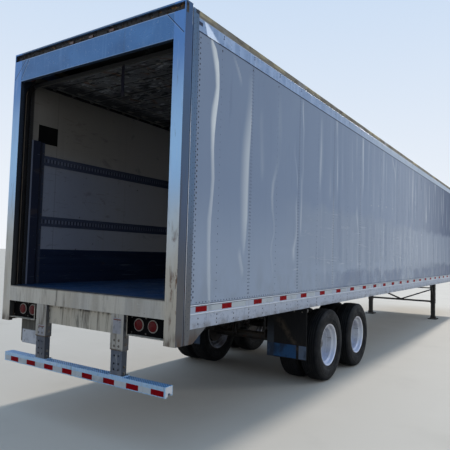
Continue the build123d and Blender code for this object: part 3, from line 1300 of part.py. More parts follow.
with BuildPart() as nose_fittings:
    face = FRONT - SKIN_INSET
    box((face, face + 12.0), (-340.0, 340.0), (NOSE_PLATE_Z - 85.0, NOSE_PLATE_Z + 85.0))
    rod((face + 12.0, 0, NOSE_PLATE_Z), (FRONT + NOSE_REACH - 8.0, 0, NOSE_PLATE_Z), SOCKET_RADIUS)
    rod((FRONT + NOSE_REACH - 8.0, 0, NOSE_PLATE_Z), (FRONT + NOSE_REACH, 0, NOSE_PLATE_Z), SOCKET_RADIUS + 6.0)
    for side in SIDES:
        y = side * COUPLING_Y
        rod((face + 12.0, y, NOSE_PLATE_Z), (FRONT + 34.0, y, NOSE_PLATE_Z), 17.0)
        box((FRONT + 18.0, FRONT + 46.0), (y - 26.0, y + 26.0), (NOSE_PLATE_Z - 50.0, NOSE_PLATE_Z + 26.0))
        rod((FRONT + 30.0, y - 0.0, NOSE_PLATE_Z - 30.0), (FRONT + 58.0, y, NOSE_PLATE_Z - 30.0), 22.0)
finish(nose_fittings, "nose_fittings")

# Marker lamps: three in the header's gutter, one under each bottom rail's middle, two at the nose's top
ID_LAMP_Y = (-310.0, 0.0, 310.0)
ID_LAMP_SIZE = (18.0, 62.0, 26.0)
SIDE_LAMP_X = REAR + 8000.0
NOSE_LAMP_Y = 1040.0

with BuildPart() as marker_lamps:
    depth, width, height = ID_LAMP_SIZE
    lamp_z = (GUTTER_LOW + BODY_HEIGHT - GUTTER_CAP) / 2
    for y in ID_LAMP_Y:
        lamp_x = REAR + GUTTER_DEPTH
        box((lamp_x - depth, lamp_x), (y - width / 2, y + width / 2), (lamp_z - height / 2, lamp_z + height / 2))
    for side in SIDES:
        lens_y = sorted((side * (SKIN_HALF - RAIL_WEB), side * (SKIN_HALF - RAIL_WEB - 40.0)))
        side_lamp = (SIDE_LAMP_X - 55.0, SIDE_LAMP_X + 55.0)
        box(side_lamp, lens_y, (BOTTOM_RAIL_LOW + 10.0, BOTTOM_RAIL_LOW + 60.0))
        y = side * NOSE_LAMP_Y
        box((FRONT, FRONT + 22.0), (y - 50.0, y + 50.0), (TOP_RAIL_TOP - 70.0, TOP_RAIL_TOP - 30.0))
finish(marker_lamps, "marker_lamps")

# Number plate, blank
PLATE_SIZE = (305.0, 152.0)
PLATE_LOW = 757.0

with BuildPart() as number_plate:
    width, height = PLATE_SIZE
    plate_x = (LAMP_PLATE_X - SEAT_GAP - 2.0, LAMP_PLATE_X - SEAT_GAP)
    box(plate_x, (PLATE_HANGER_Y[1] - 23.0 - width, PLATE_HANGER_Y[1] - 23.0), (PLATE_LOW, PLATE_LOW + height))
finish(number_plate, "number_plate")
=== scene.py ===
import math

import bmesh
import bpy
import numpy as np
from mathutils import Matrix, Vector

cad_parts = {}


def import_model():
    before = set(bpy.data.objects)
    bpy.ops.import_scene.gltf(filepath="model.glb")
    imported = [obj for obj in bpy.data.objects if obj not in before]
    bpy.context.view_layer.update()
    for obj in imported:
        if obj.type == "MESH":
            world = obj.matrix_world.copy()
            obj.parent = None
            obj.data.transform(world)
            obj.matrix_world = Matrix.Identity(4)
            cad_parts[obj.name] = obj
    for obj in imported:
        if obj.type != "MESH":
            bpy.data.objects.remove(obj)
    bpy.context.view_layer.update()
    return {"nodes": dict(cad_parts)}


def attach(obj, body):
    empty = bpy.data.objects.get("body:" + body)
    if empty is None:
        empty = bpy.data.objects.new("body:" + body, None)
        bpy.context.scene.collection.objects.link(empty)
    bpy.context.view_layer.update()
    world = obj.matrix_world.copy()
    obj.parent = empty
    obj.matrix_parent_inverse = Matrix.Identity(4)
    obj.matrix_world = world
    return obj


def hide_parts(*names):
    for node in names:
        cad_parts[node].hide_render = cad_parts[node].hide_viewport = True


# The looks of a box semi trailer with its roll-up door raised. Metres, in the row frame:
# +X towards the kingpin, +Y to the trailer's left, +Z up.

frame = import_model()

# The sizes that part.py is built on
REAR, FRONT = -8.108, 8.046
HALF, SKIN, INNER = 1.2955, 1.2915, 1.2505
GUARD_START, GUARD_END = REAR + 0.215, REAR + 0.430
OPENING_TOP = 3.773
WALL_START, WALL_END = REAR + 0.205, FRONT - 0.150
AXLE_Z, DUAL_Y = 0.518, 0.98425
AXLES = {"rear": REAR + 3.618, "front": REAR + 4.863}
LAMP_Z = 1.131
SIDES = (1, -1)
HANDS = (("left", 1), ("right", -1))

# How far apart things of one kind are: posts, laps of the side sheets, door sections, slots and small rivets
POST, SHEET, SECTION, PITCH = 0.6095, 1.219, 0.303, 0.0508
# How much a sheet steps in ahead of a lap, over which length, and the heights of the rivets in a row
LAP, LAP_RUN = 0.0005, 0.6
ROW_HEIGHTS = np.arange(1.40, 3.88, 0.0762)


# Meshes


class Shape:
    """Collects the faces of one piece, each with a material's place in the list and a smooth flag."""

    def __init__(self):
        self.points, self.faces, self.slots, self.smooth = [], [], [], []

    def add(self, points, faces, slot=0, smooth=False):
        first = len(self.points)
        self.points.extend(tuple(p) for p in points)
        self.faces.extend(tuple(first + i for i in f) for f in faces)
        self.slots.extend([slot] * len(faces))
        self.smooth.extend([smooth] * len(faces))

    def box(self, x, y, z, slot=0):
        points = [(a, b, c) for a in sorted(x) for b in sorted(y) for c in sorted(z)]
        self.add(points, [(0, 1, 3, 2), (4, 6, 7, 5), (0, 4, 5, 1), (2, 3, 7, 6), (0, 2, 6, 4), (1, 5, 7, 3)],
            slot)

    def lathe(self, centre, axis, profile, turns=32, slot=0, smooth=True):
        """Turns (distance along the axis, radius) points about the axis. A radius of zero closes the end."""
        axis = Vector(axis).normalized()
        side = axis.orthogonal().normalized()
        across = axis.cross(side)
        centre = Vector(centre)
        points, rows = [], []
        for along, radius in profile:
            base = centre + axis * along
            if radius < 1e-7:
                rows.append([len(points)] * turns)
                points.append(base)
                continue
            rows.append(list(range(len(points), len(points) + turns)))
            for k in range(turns):
                a = 2 * math.pi * k / turns
                points.append(base + (side * math.cos(a) + across * math.sin(a)) * radius)
        faces = []
        for low, high in zip(rows, rows[1:]):
            for k in range(turns):
                j = (k + 1) % turns
                face = [low[k], low[j], high[j], high[k]]
                face = [v for n, v in enumerate(face) if v not in face[:n]]
                if len(face) > 2:
                    faces.append(face)
        self.add(points, faces, slot, smooth)

    def rod(self, a, b, radius, turns=14, slot=0):
        a, b = Vector(a), Vector(b)
        length = (b - a).length
        edge = min(radius * 0.15, length * 0.2)
        profile = [(0, 0), (0, radius - edge), (edge, radius), (length - edge, radius), (length, radius - edge),
            (length, 0)]
        self.lathe(a, b - a, profile, turns, slot)

    def plate(self, outline, low, high, slot=0):
        """A flat outline of (x, z) points, pushed along y from low to high."""
        n = len(outline)
        points = [(a, level, b) for level in (low, high) for a, b in outline]
        self.add(points, [(k, (k + 1) % n, n + (k + 1) % n, n + k) for k in range(n)], slot)
        self.add(points, [tuple(range(n)), tuple(range(n, 2 * n))], slot)

    def grid(self, points, slot=0, smooth=True, closed=False):
        """A sheet from rows of points."""
        rows, columns = len(points), len(points[0])
        flat = [p for row in points for p in row]
        faces = []
        for i in range(rows - 1):
            for j in range(columns if closed else columns - 1):
                k = (j + 1) % columns
                faces.append((i * columns + j, i * columns + k, (i + 1) * columns + k, (i + 1) * columns + j))
        self.add(flat, faces, slot, smooth)

    def tube(self, path, radius, turns=10, slot=0):
        """A round bar that follows a path of points."""
        path = [Vector(p) for p in path]
        rows = []
        side = None
        for k, p in enumerate(path):
            along = (path[min(k + 1, len(path) - 1)] - path[max(k - 1, 0)]).normalized()
            side = along.orthogonal() if side is None else side - along * side.dot(along)
            side.normalize()
            across = along.cross(side)
            rows.append(
                [p + (side * math.cos(2 * math.pi * a / turns) + across * math.sin(2 * math.pi * a / turns))
                    * radius for a in range(turns)])
        self.grid(rows, slot, True, True)
        for row in (rows[0], rows[-1]):
            self.add(row, [tuple(range(turns))], slot)

    def dome(self, centre, axis, radius, height, turns=8, slot=0):
        """A rivet's head."""
        self.lathe(centre, axis,
            [(-0.0004, radius), (height * 0.55, radius * 0.82), (height * 0.9, radius * 0.45), (height, 0)],
            turns, slot)

    def bolt(self, centre, axis, radius, height, slot=0, washer=True):
        """A hexagon head on a washer."""
        axis = Vector(axis).normalized()
        centre = Vector(centre)
        if washer:
            self.lathe(centre, axis, [(0, radius * 1.5), (height * 0.2, radius * 1.5), (height * 0.22, 0)], 16,
                slot, False)
        self.lathe(centre, axis, [(0, radius), (height * 0.88, radius), (height, radius * 0.86), (height, 0)],
            6, slot, False)

    def make(self, name, paints, body="trailer", replaces=(), bevel=0):
        """Turns what was collected into a piece that rides on a body, and replaces nodes of the CAD model."""
        mesh = bpy.data.meshes.new(name)
        mesh.from_pydata(self.points, [], self.faces)
        mesh.polygons.foreach_set("material_index", self.slots)
        mesh.polygons.foreach_set("use_smooth", self.smooth)
        for paint in paints:
            mesh.materials.append(FINISHES[paint].material)
        cleaner = bmesh.new()
        cleaner.from_mesh(mesh)
        bmesh.ops.remove_doubles(cleaner, verts=cleaner.verts, dist=1e-6)
        bmesh.ops.recalc_face_normals(cleaner, faces=cleaner.faces)
        cleaner.to_mesh(mesh)
        cleaner.free()
        piece = place_in_scene(name, mesh)
        if bevel:
            soften(piece, bevel, 35)
        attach(piece, body)
        if replaces:
            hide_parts(*replaces)
        return piece


def place_in_scene(name, data):
    piece = bpy.data.objects.new(name, data)
    bpy.context.scene.collection.objects.link(piece)
    return piece


def soften(piece, width, angle):
    """Rounds the edges of a piece that are sharper than an angle, so that they catch the light."""
    edge = piece.modifiers.new("edges", "BEVEL")
    edge.width = width
    edge.segments = 2
    edge.limit_method = "ANGLE"
    edge.angle_limit = math.radians(angle)


# Fields and finishes


def tone(red, green, blue):
    """A colour written in display values from 0 to 255, as linear light."""
    def linear(v):
        v /= 255
        return v / 12.92 if v <= 0.04045 else ((v + 0.055) / 1.055) ** 2.4
    return (linear(red), linear(green), linear(blue), 1.0)


def scaled(colour, by):
    """A colour's display values, all darker or lighter by one factor."""
    return tuple(min(255, int(v * by)) for v in colour)


class Field:
    """A value over a surface: one output of a node, whose inputs are values or other fields."""

    def __init__(self, kind, inputs, output=0, **settings):
        self.kind, self.inputs, self.output, self.settings = kind, inputs, output, settings

    def __add__(self, other):
        return maths("ADD", self, other)

    def __sub__(self, other):
        return maths("SUBTRACT", self, other)

    def __rsub__(self, other):
        return maths("SUBTRACT", other, self)

    def __mul__(self, other):
        """Of two masks: where both hold."""
        return maths("MULTIPLY", self, other)

    def __truediv__(self, other):
        return maths("DIVIDE", self, other)

    def __or__(self, other):
        """Of two masks: where either holds."""
        return maths("MAXIMUM", self, other)

    def __abs__(self):
        return maths("ABSOLUTE", self)

    def step(self, low, high, at_low=0, at_high=1):
        """Moves smoothly between two outputs as the value goes from low to high. Low may be the greater."""
        values = dict(enumerate((self, low, high, at_low, at_high)))
        return Field("MapRange", values, interpolation_type="SMOOTHSTEP")

    def band(self, low, high, soft=0.002):
        """One between low and high, zero elsewhere."""
        return self.step(low - soft, low + soft) * self.step(high + soft, high - soft)

    def wrap(self, pitch, start=0):
        """Signed distance to the nearest of evenly spaced lines, or to the only one where the pitch is zero."""
        away = self - start
        if not pitch:
            return away
        away = away / pitch
        return (away - maths("ROUND", away)) * pitch

    def line(self, pitch, start, half, soft=0.001):
        """One on evenly spaced lines."""
        return abs(self.wrap(pitch, start)).step(half + soft, half)

    def plug(self, tree, socket, built):
        """Links the field to a socket. Its node is made if it isn't among those already built."""
        if self not in built:
            node = tree.nodes.new("ShaderNode" + self.kind)
            for key, setting in self.settings.items():
                setattr(node, key, setting)
            for key, value in self.inputs.items():
                if isinstance(value, Field):
                    value.plug(tree, node.inputs[key], built)
                else:
                    node.inputs[key].default_value = value
            built[self] = node.outputs[self.output]
        tree.links.new(built[self], socket)


def maths(operation, *values):
    return Field("Math", dict(enumerate(values)), operation=operation)


def mix(mask, a, b, kind="FLOAT"):
    return Field("Mix", {"Factor": mask, "A": a, "B": b}, "Result", data_type=kind)


EVEN = (1, 1, 1)
PLACE = Field("TexCoord", {}, "Object")
X, Y, Z = (Field("SeparateXYZ", {0: PLACE}, axis) for axis in range(3))
# Where a ray comes straight from the eye, a mirror or a glass
SEEN = (Field("LightPath", {}, "Is Camera Ray") | Field("LightPath", {}, "Is Glossy Ray")
        | Field("LightPath", {}, "Is Transmission Ray"))


def spread(scale, stretch, shift=(0, 0, 0)):
    return Field("Mapping", {0: PLACE, "Location": shift, "Scale": [scale * s for s in stretch]})


def noise(scale, detail=3, stretch=EVEN, rough=0.55, warp=0, shift=(0, 0, 0)):
    place = spread(scale, stretch, shift)
    inputs = {"Vector": place, "Scale": 1, "Detail": detail, "Roughness": rough, "Distortion": warp}
    return Field("TexNoise", inputs)


def cells(scale, stretch=EVEN):
    """Distance from scattered points: specks where it is small."""
    return Field("TexVoronoi", {"Vector": spread(scale, stretch), "Scale": 1}, "Distance")


def dots(u, v, pitch_u, pitch_v, radius, start_u, start_v):
    """Round dots on a lattice. A pitch of zero makes a single row."""
    du, dv = u.wrap(pitch_u, start_u), v.wrap(pitch_v, start_v)
    return maths("SQRT", du * du + dv * dv).step(radius + 0.0015, radius)


def facing(axis, low=0.5):
    """One where the surface points along an axis: +z, -x and so on, or |y for either way along it."""
    value = Field("SeparateXYZ", {0: Field("NewGeometry", {}, "True Normal")}, "XYZ".index(axis[1].upper()))
    if axis[0] == "-":
        value = value * -1
    if axis[0] == "|":
        value = abs(value)
    return value.step(low, low + 0.2)


FINISHES = {}


class Finish:
    """A node material. Colour, roughness, metal and height are built up in layers over Object coordinates."""

    def __init__(self, name, colour, rough, metal=0, shine=0.5, coat=0):
        self.material = bpy.data.materials.new(name)
        self.material.use_nodes = True
        self.shader = self.material.node_tree.nodes["Principled BSDF"]
        self.shader.inputs["Specular IOR Level"].default_value = shine
        self.shader.inputs["Coat Weight"].default_value = coat
        self.colour, self.rough, self.metal, self.height = tone(*colour), rough, metal, None
        FINISHES[name] = self

    def paint(self, mask, colour, amount=1, rough=None, metal=None):
        """Lays a colour over what is there, where the mask says."""
        if amount != 1:
            mask = mask * amount
        self.colour = mix(mask, self.colour, tone(*colour), "RGBA")
        if rough is not None:
            self.rough = mix(mask, self.rough, rough)
        if metal is not None:
            self.metal = mix(mask, self.metal, metal)

    def raise_by(self, value, metres):
        """Adds to the height that makes the bump."""
        part = value * metres
        self.height = part if self.height is None else self.height + part

    def shades(self, dark, light, scale, amount=0.7, stretch=EVEN):
        """Slow changes of tone over the surface."""
        value = noise(scale, 4, stretch)
        self.paint(value.step(0.52, 0.75), light, amount)
        self.paint(value.step(0.48, 0.28), dark, amount)

    def streaks(self, colour, amount, scale, low=0.52, high=0.72, stretch=(1, 1, 0.06), shift=(0, 0, 0)):
        """Runs down the surface."""
        runs = noise(scale, 5, stretch, 0.6, 0.3, shift).step(low, high)
        self.paint(runs * noise(1.1, 2).step(0.3, 0.6), colour, amount)

    def specks(self, colour, scale, reach, amount, rough=None):
        self.paint(cells(scale).step(reach, reach * 0.6) * noise(3).step(0.45, 0.6), colour, amount, rough)

    def scratches(self, colour, amount, stretch, scale=1):
        self.paint(noise(scale, 2, stretch, 0.5, 1.2).step(0.66, 0.7), colour, amount)

    def road_dirt(self, colour, low, high, amount):
        """Dust that thickens towards the road."""
        self.paint(Z.step(high, low) * noise(5, 6, EVEN, 0.65).step(0.3, 0.7), colour, amount, 0.9, 0)

    def grain(self, scale, metres, detail=3, stretch=EVEN):
        self.raise_by(noise(scale, detail, stretch), metres)

    def vary_rough(self, low, high, scale, stretch=EVEN):
        """Roughness that wanders between two values."""
        self.rough = noise(scale, 4, stretch).step(0.3, 0.7, low, high)

    def build(self):
        """Turns the layers into nodes."""
        layers = {"Base Color": self.colour, "Roughness": self.rough, "Metallic": self.metal}
        if self.height is not None:
            layers["Normal"] = Field("Bump", {"Strength": 1, "Distance": 1, "Height": self.height})
        built = {}
        for key, value in layers.items():
            if isinstance(value, Field):
                value.plug(self.material.node_tree, self.shader.inputs[key], built)
            else:
                self.shader.inputs[key].default_value = value
        return self.material


# The paints and metals

# The side sheets are white paint, given a darker blue-grey tone as painted shade
f = Finish("sheet_paint", (145, 160, 184), 0.16, shine=0.05)
f.vary_rough(0.14, 0.22, 1.5, (1, 1, 0.4))
f.shades((136, 151, 176), (154, 168, 189), 0.5, 0.8, (1, 1, 0.5))
f.streaks((116, 130, 156), 0.35, 14, 0.55, 0.8)
f.streaks((156, 167, 184), 0.3, 20, 0.6, 0.8, shift=(7, 3, 1))
# fine runs that rain has left from each row of fasteners
f.paint(noise(60, 3, (1, 1, 0.02)).step(0.56, 0.75) * noise(0.9).step(0.35, 0.6), (150, 162, 180), 0.3)
# painted light: the sheet is paler low down
f.paint(Z.step(2.6, 1.5), (172, 184, 202), 0.85)
# a paler band along the middle of the sheet, with scuffs where something rubbed along it
ragged = Z + (noise(1.6, 4) - 0.5) * 0.5
waist = X.band(REAR + 2.3, REAR + 15.2, 0.6) * ragged.band(1.7, 2.5, 0.1)
f.paint(waist, (162, 173, 190), 0.6, 0.3)
scuff = waist * noise(2.2, 4, (0.5, 1, 5), 0.6, 0.8).step(0.58, 0.7)
f.paint(scuff, (170, 178, 190), 0.4, 0.4)
f.paint(waist * noise(5, 4, (1, 1, 0.06), 0.65, 0.3).step(0.5, 0.66), (132, 146, 170), 0.6, 0.3)
# painted shade: the sheet darkens towards the front of the trailer, in and out of the band
f.paint(X.step(-2, 7) * (1 - waist), (72, 86, 114), 0.85, 0.6)
f.paint(X.step(-0.5, 7.6) * waist, (112, 124, 146), 0.75, 0.6)
foot = X.step(-5.4, -3.6) * (Z + noise(5, 5, (1, 1, 0.4), 0.65) * 0.3).step(1.78, 1.7)
f.paint(foot * noise(3, 4, (1, 1, 0.6)).step(0.4, 0.56), (104, 118, 148), 0.55, 0.4)
# pale marks: scuffs low on the sheet, and painted highlights of small dents higher up
for x, z, half in ((-4.62, 1.752, 0.1), (-4.05, 1.742, 0.16), (-3.24, 1.731, 0.15), (-5.72, 1.672, 0.12),
    (-2.62, 2.787, 0.06), (-2.16, 2.817, 0.06), (-1.66, 2.852, 0.08), (-1.21, 2.853, 0.06)):
    along = abs(X - x).step(half, half * 0.1)
    thick = abs(Z - z + noise(6) * 0.06).step(0.017, 0.003)
    f.paint(along * thick, (196, 202, 210), 0.5, 0.35)
f.specks((86, 88, 96), 9, 0.05, 0.6, 0.7)
low = Z.step(1.9, 1.36)
f.paint(low * noise(6, 6, (1, 1, 0.5)).step(0.35, 0.75), (150, 158, 170), 0.55, 0.4)
# painted highlights along the crests of the buckles
painted_highlight = Field("Attribute", {}, "Fac", attribute_name="painted_highlight")
f.paint(painted_highlight, (246, 250, 250), 0.92, 0.14)
# dirt held along the sheet laps; a dark line at the sheet's foot, and a painted shadow along its head under the
# top rail's lip
lap = X.line(SHEET, REAR, 0.002, 0.008) * noise(9).step(0.3, 0.6)
f.paint(lap, (94, 104, 126), 0.35, 0.6)
edge = Z.step(1.35, 1.339) | Z.step(3.889, 3.897)
f.paint(edge, (44, 50, 66), 0.85, 0.6)
f.raise_by(noise(2.3, 2, (1, 1, 0.22)), 0.0016)
f.raise_by(noise(90, 2), 3e-05)

f = Finish("liner_board", (166, 165, 162), 0.5)
f.vary_rough(0.4, 0.65, 5)
f.shades((142, 142, 142), (180, 178, 174), 0.9, 0.7, (1, 1, 0.6))
# warm and dull high up, bluer where the sky reaches in
f.paint(Z.step(2.75, 3.15), (146, 138, 126), 0.75)
f.paint(Z.step(3.05, 2.75), (140, 148, 170), 0.75)
f.streaks((128, 124, 118), 0.45, 7)
f.scratches((110, 106, 100), 0.5, (3, 3, 30))
f.specks((70, 66, 62), 6, 0.09, 0.8)
marks = noise(3.2, 5, (1, 1, 1.6), 0.6, 0.6).step(0.64, 0.7) * Z.band(1.85, 2.6, 0.2)
f.paint(marks, (88, 82, 78), 0.55)
seam = X.line(SHEET, REAR + 0.61, 0.003, 0.004)
f.paint(seam, (92, 90, 88), 0.4)
f.raise_by(seam, -0.001)
f.paint(dots(X, Z, 0.305, 0.25, 0.006, REAR + 0.15, 1.95), (120, 118, 114), 0.8)
# painted shade: the lining darkens towards its head, under the roof
f.paint(Z.step(3.5, 3.95), (104, 98, 90), 0.55)
# painted light: the lining grows paler further into the trailer
f.paint(X.step(REAR + 0.6, REAR + 3.6), (228, 222, 214), 0.85)
# old smears and dark scuffs from loads
smear = noise(1.9, 5, (1, 1, 2.6), 0.62, 1.1, (3, 0, 7)).step(0.6, 0.68)
f.paint(smear, (104, 100, 98), 0.4, 0.6)
knock = (cells(4.1, (1, 1, 2.2)) + noise(22) * 0.12).step(0.13, 0.1) * noise(3).step(0.5, 0.55)
f.paint(knock, (36, 34, 36), 0.8, 0.6)
# painted shade in the pocket beside the door's track
f.paint(X.step(REAR + 0.262, REAR + 0.244), (20, 20, 24), 0.92, 0.8)
f.grain(180, 0.00025)

f = Finish("aluminium_rail", (158, 168, 186), 0.44, 0.3)
f.vary_rough(0.36, 0.56, 6, (0.2, 1, 1))
f.shades((144, 154, 174), (172, 181, 196), 1.2, 0.7, (0.5, 1, 1))
# the top rail's band is a painted reflection of the sky, and the bottom rail's lips carry painted highlights
band = Z.band(3.6, 4.022, 0.01)
f.paint(band, (100, 128, 166), 0.9, 0.44, 0.4)
f.paint(band * noise(14, 3, (1, 1, 0.05), 0.6, 0.2).step(0.44, 0.66), (150, 172, 204), 0.45, 0.42)
f.paint(band * noise(3.4, 4, (0.6, 1, 1), 0.6, 0.5).step(0.5, 0.66), (140, 160, 190), 0.6, 0.4)
f.paint(band * X.step(-6, -0.5), (178, 190, 204), 0.75)
lip_highlight = Z.band(1.3285, 1.341, 0.0012) | Z.band(1.2495, 1.2615, 0.0012)
f.paint(lip_highlight * facing("|y", 0.2), (206, 212, 222), 0.75, 0.35, 0.3)
f.paint(Z.band(1.322, 1.329, 0.001) * facing("|y", 0.1), (60, 64, 76), 0.7, 0.6)
f.scratches((172, 176, 184), 0.5, (2, 40, 220))
f.specks((92, 88, 84), 30, 0.1, 0.6, 0.8)
f.streaks((124, 124, 126), 0.5, 22, 0.55, 0.78)
f.paint(Z.step(1.25, 1.24) * noise(26, 5, EVEN, 0.6).step(0.52, 0.64), (118, 128, 148), 0.5, 0.5)
lower = Z.step(1.2, 1.12) * noise(7, 6).step(0.35, 0.65)
f.paint(lower, (112, 106, 98), 0.6, 0.8, 0.1)
# the top rail: painted shadow under its lip, flush rivets, a darker pair of fasteners at each post
high = Z.step(3.6, 3.7)
f.paint(high * Z.step(3.905, 3.899), (46, 50, 62), 0.85, 0.8)
rivet = high * (dots(X, Z, 0.1524, 0, 0.0052, REAR, 3.925) | dots(X, Z, 0.1524, 0, 0.0052, REAR, 3.968))
f.paint(rivet, (84, 98, 130), 0.7, 0.5)
pair = dots(X, Z, POST, 0, 0.0085, REAR + 0.627, 4.003) | dots(X, Z, POST, 0, 0.0085, REAR + 0.627, 3.978)
f.paint(pair, (36, 42, 78), 0.9, 0.6)
f.raise_by(rivet | pair, 0.0012)
# the rail's end by the rear frame: a painted highlight, with a dark gap behind it
along = X - (WALL_START + 0.08)
below = 4.024 - Z
ragged = (noise(14) - 0.5) * 0.05
rear = (along - below * 0.45).step(-0.004, 0.006)
front = (along - below * 1.7 + ragged).step(0.075, 0.012)
f.paint(band * abs(Y).step(1.27, 1.28) * rear * front, (206, 218, 236), 0.85, 0.35)
gap = X.step(WALL_START + 0.06, WALL_START + 0.054) * Z.band(3.958, 3.992, 0.004)
f.paint(gap, (16, 24, 54), 0.9, 0.8, 0.1)
# the weathered box above
crown = Z.step(4.024, 4.034) * noise(3, 6, (0.5, 1, 1), 0.65).step(0.2, 0.5)
f.paint(crown, (120, 110, 88), 0.9, 0.75, 0.1)
f.paint(Z.step(4.03, 4.05) * noise(11, 5, (0.4, 1, 1)).step(0.5, 0.65), (74, 62, 46), 0.6, 0.8)
# pale patches on the box's top: painted sunlight
f.paint(Z.step(4.05, 4.06) * noise(2.4, 4, (0.6, 1, 1), 0.6, 0, (4, 1, 0)).step(0.5, 0.62), (196, 182, 142),
    0.6, 0.7)
f.grain(420, 0.00012, 2, (0.1, 1, 1))

f = Finish("roof_metal", (140, 142, 144), 0.85, shine=0.03)
f.shades((116, 114, 110), (154, 156, 158), 0.8)
f.streaks((124, 116, 104), 0.6, 6, 0.5, 0.7, (0.05, 1, 1))
f.specks((92, 84, 74), 14, 0.14, 0.6)
under = facing("-z")
f.paint(under * noise(2.4, 5, (0.5, 1, 1), 0.6, 1.1).step(0.52, 0.62), (206, 210, 218), 0.75, 0.5)
# painted shade: the underside goes black towards the walls
f.paint(under * abs(Y).step(0.86, 1.04), (14, 13, 18), 0.92, 0.9, 0)
bow = X.line(0.61, REAR + 0.205 + 0.305, 0.02, 0.02)
f.paint(bow, (150, 144, 134), 0.5)
f.raise_by(X.line(0.61, REAR + 0.205 + 0.305, 0.01, 0.12), 0.004)
f.raise_by(noise(1.8, 3, (1, 0.4, 1)), 0.006)
f.grain(200, 0.0002)


def stainless(name, shine=0.5):
    """Brushed stainless sheet: blue-grey and clean high up, a painted reflection of the sky, beige lower down,
    with road dirt.
    """
    base = (124, 154, 196)
    f = Finish(name, base, 0.36, 0.7, shine)
    f.vary_rough(0.28, 0.46, 5, (1, 1, 0.2))
    f.shades(scaled(base, 0.86), scaled(base, 1.12), 0.9, 0.7, (1, 1, 0.5))
    lower_beige = Z.step(2.5, 1.5)
    # painted reflections of the sky in bands up the rear face
    f.paint(Z.band(2.3, 3.3, 0.5) * facing("-x"), (162, 202, 236), 0.85, 0.36, 0.65)
    f.paint(Z.band(1.75, 2.25, 0.4) * facing("-x"), (196, 212, 218), 0.8, 0.4, 0.6)
    f.paint(Z.step(3.3, 3.8) * facing("-x"), (90, 134, 190), 0.9, 0.36, 0.68)
    f.paint(lower_beige, (198, 193, 180), 0.9, 0.45, 0.5)
    f.paint(lower_beige * noise(1.7, 3, (1, 1, 0.5)).step(0.45, 0.62), (182, 172, 156), 0.7, 0.5)
    low = Z.step(1.75, 1.1)
    f.streaks((92, 82, 72), 0.4, 26, 0.56, 0.74)
    f.paint(low * noise(12, 5, (1, 1, 0.08), 0.6, 0.3).step(0.5, 0.7), (104, 94, 82), 0.8, 0.75, 0.25)
    f.paint(low * noise(30, 4, (1, 1, 0.12), 0.6).step(0.6, 0.72), (62, 56, 50), 0.6, 0.8, 0.1)
    return f


def gusset_seams(f):
    """The corner gussets' seams, slanting lines that run from the header onto the posts."""
    face = facing("-x")
    for side in SIDES:
        for (y0, z0), (y1, z1) in (((1.076, 4.022), (1.281, 3.808)), ((1.02, 4.022), (1.161, 3.8))):
            if side < 0 and y0 < 1.05:
                continue
            length = math.hypot(y1 - y0, z1 - z0)
            a, b = ((z1 - z0) / length, -(y1 - y0) / length)
            far = (Y - side * y0) * (side * a) + (Z - z0) * b
            reach = (Y * side).step(0.98, 1) * Z.band(z1, z0, 0.004) * face
            seam = abs(far).step(0.006, 0.0025) * reach
            f.paint(seam, (38, 52, 76), 0.9, 0.6)
            f.raise_by(seam, -0.0015)
            glint = far.band(0.005, 0.01, 0.0015) * reach
            f.paint(glint, (170, 190, 214), 0.5, 0.3)


def gutter_dirt(f):
    """Leaves and dirt that lie in the gutter above the door."""
    gutter = X.step(REAR + 0.006, REAR + 0.02) * Z.band(4, 4.0985, 0.001) * X.step(REAR + 0.046, REAR + 0.044)
    f.paint(gutter, (72, 62, 48), 0.9, 0.9, 0)
    f.paint(gutter * noise(26, 5, EVEN, 0.6).step(0.5, 0.58), (34, 30, 26), 0.9, 0.95)
    f.paint(gutter * noise(17, 5, EVEN, 0.6, 0, (3, 3, 3)).step(0.6, 0.66), (150, 112, 66), 0.8, 0.9)


f = stainless("rear_frame")
side = facing("|y")
outside = side * abs(Y).step(1.25, 1.28)
beige = Z.step(2, 1.25)
# painted reflections on the post's outer side: the channel and the corner member dark blue high up, greyer and
# beige lower down
channel = outside * X.step(REAR + 0.11, REAR + 0.108)
f.paint(channel, (12, 50, 82), 0.97, 0.46, 0.45)
f.paint(channel * Z.step(2.9, 3.9), (20, 68, 112), 0.85, 0.46, 0.45)
f.paint(channel * noise(2.6, 3, (1, 1, 0.3)).step(0.45, 0.7), (34, 58, 100), 0.5, 0.42)
f.paint(channel * Z.step(2.6, 1.5), (42, 52, 68), 0.85, 0.5, 0.3)
f.paint(channel * beige, (86, 84, 84), 0.75, 0.6, 0.2)
corner = outside * X.step(REAR + 0.116, REAR + 0.12)
f.paint(corner, (54, 86, 118), 0.96, 0.5, 0.35)
f.paint(corner * Z.step(2.6, 1.5), (66, 76, 92), 0.85, 0.5, 0.3)
f.paint(corner * beige, (98, 96, 94), 0.75, 0.6, 0.2)
f.paint(outside * noise(18, 4, (1, 1, 0.06), 0.6, 0.3).step(0.56, 0.72), (64, 62, 62), 0.5, 0.7, 0.2)
# painted highlights along the folded edges on each side of the groove
for low, high in ((0.103, 0.1066), (0.1184, 0.1216)):
    f.paint(outside * X.band(REAR + low, REAR + high, 0.0006), (84, 112, 150), 0.5, 0.45, 0.4)
groove = X.band(REAR + 0.1068, REAR + 0.1182, 0.0005) * abs(Y).step(1.27, 1.28)
f.paint(groove, (30, 34, 44), 0.9, 0.8, 0.2)
glint = outside * X.band(REAR + 0.1184, REAR + 0.1246, 0.0008) * Z.band(1.34, 3.1, 0.2)
glint = glint * noise(1.3, 2).step(0.2, 0.45)
f.paint(glint, (206, 206, 212), 0.75, 0.4, 0.3)
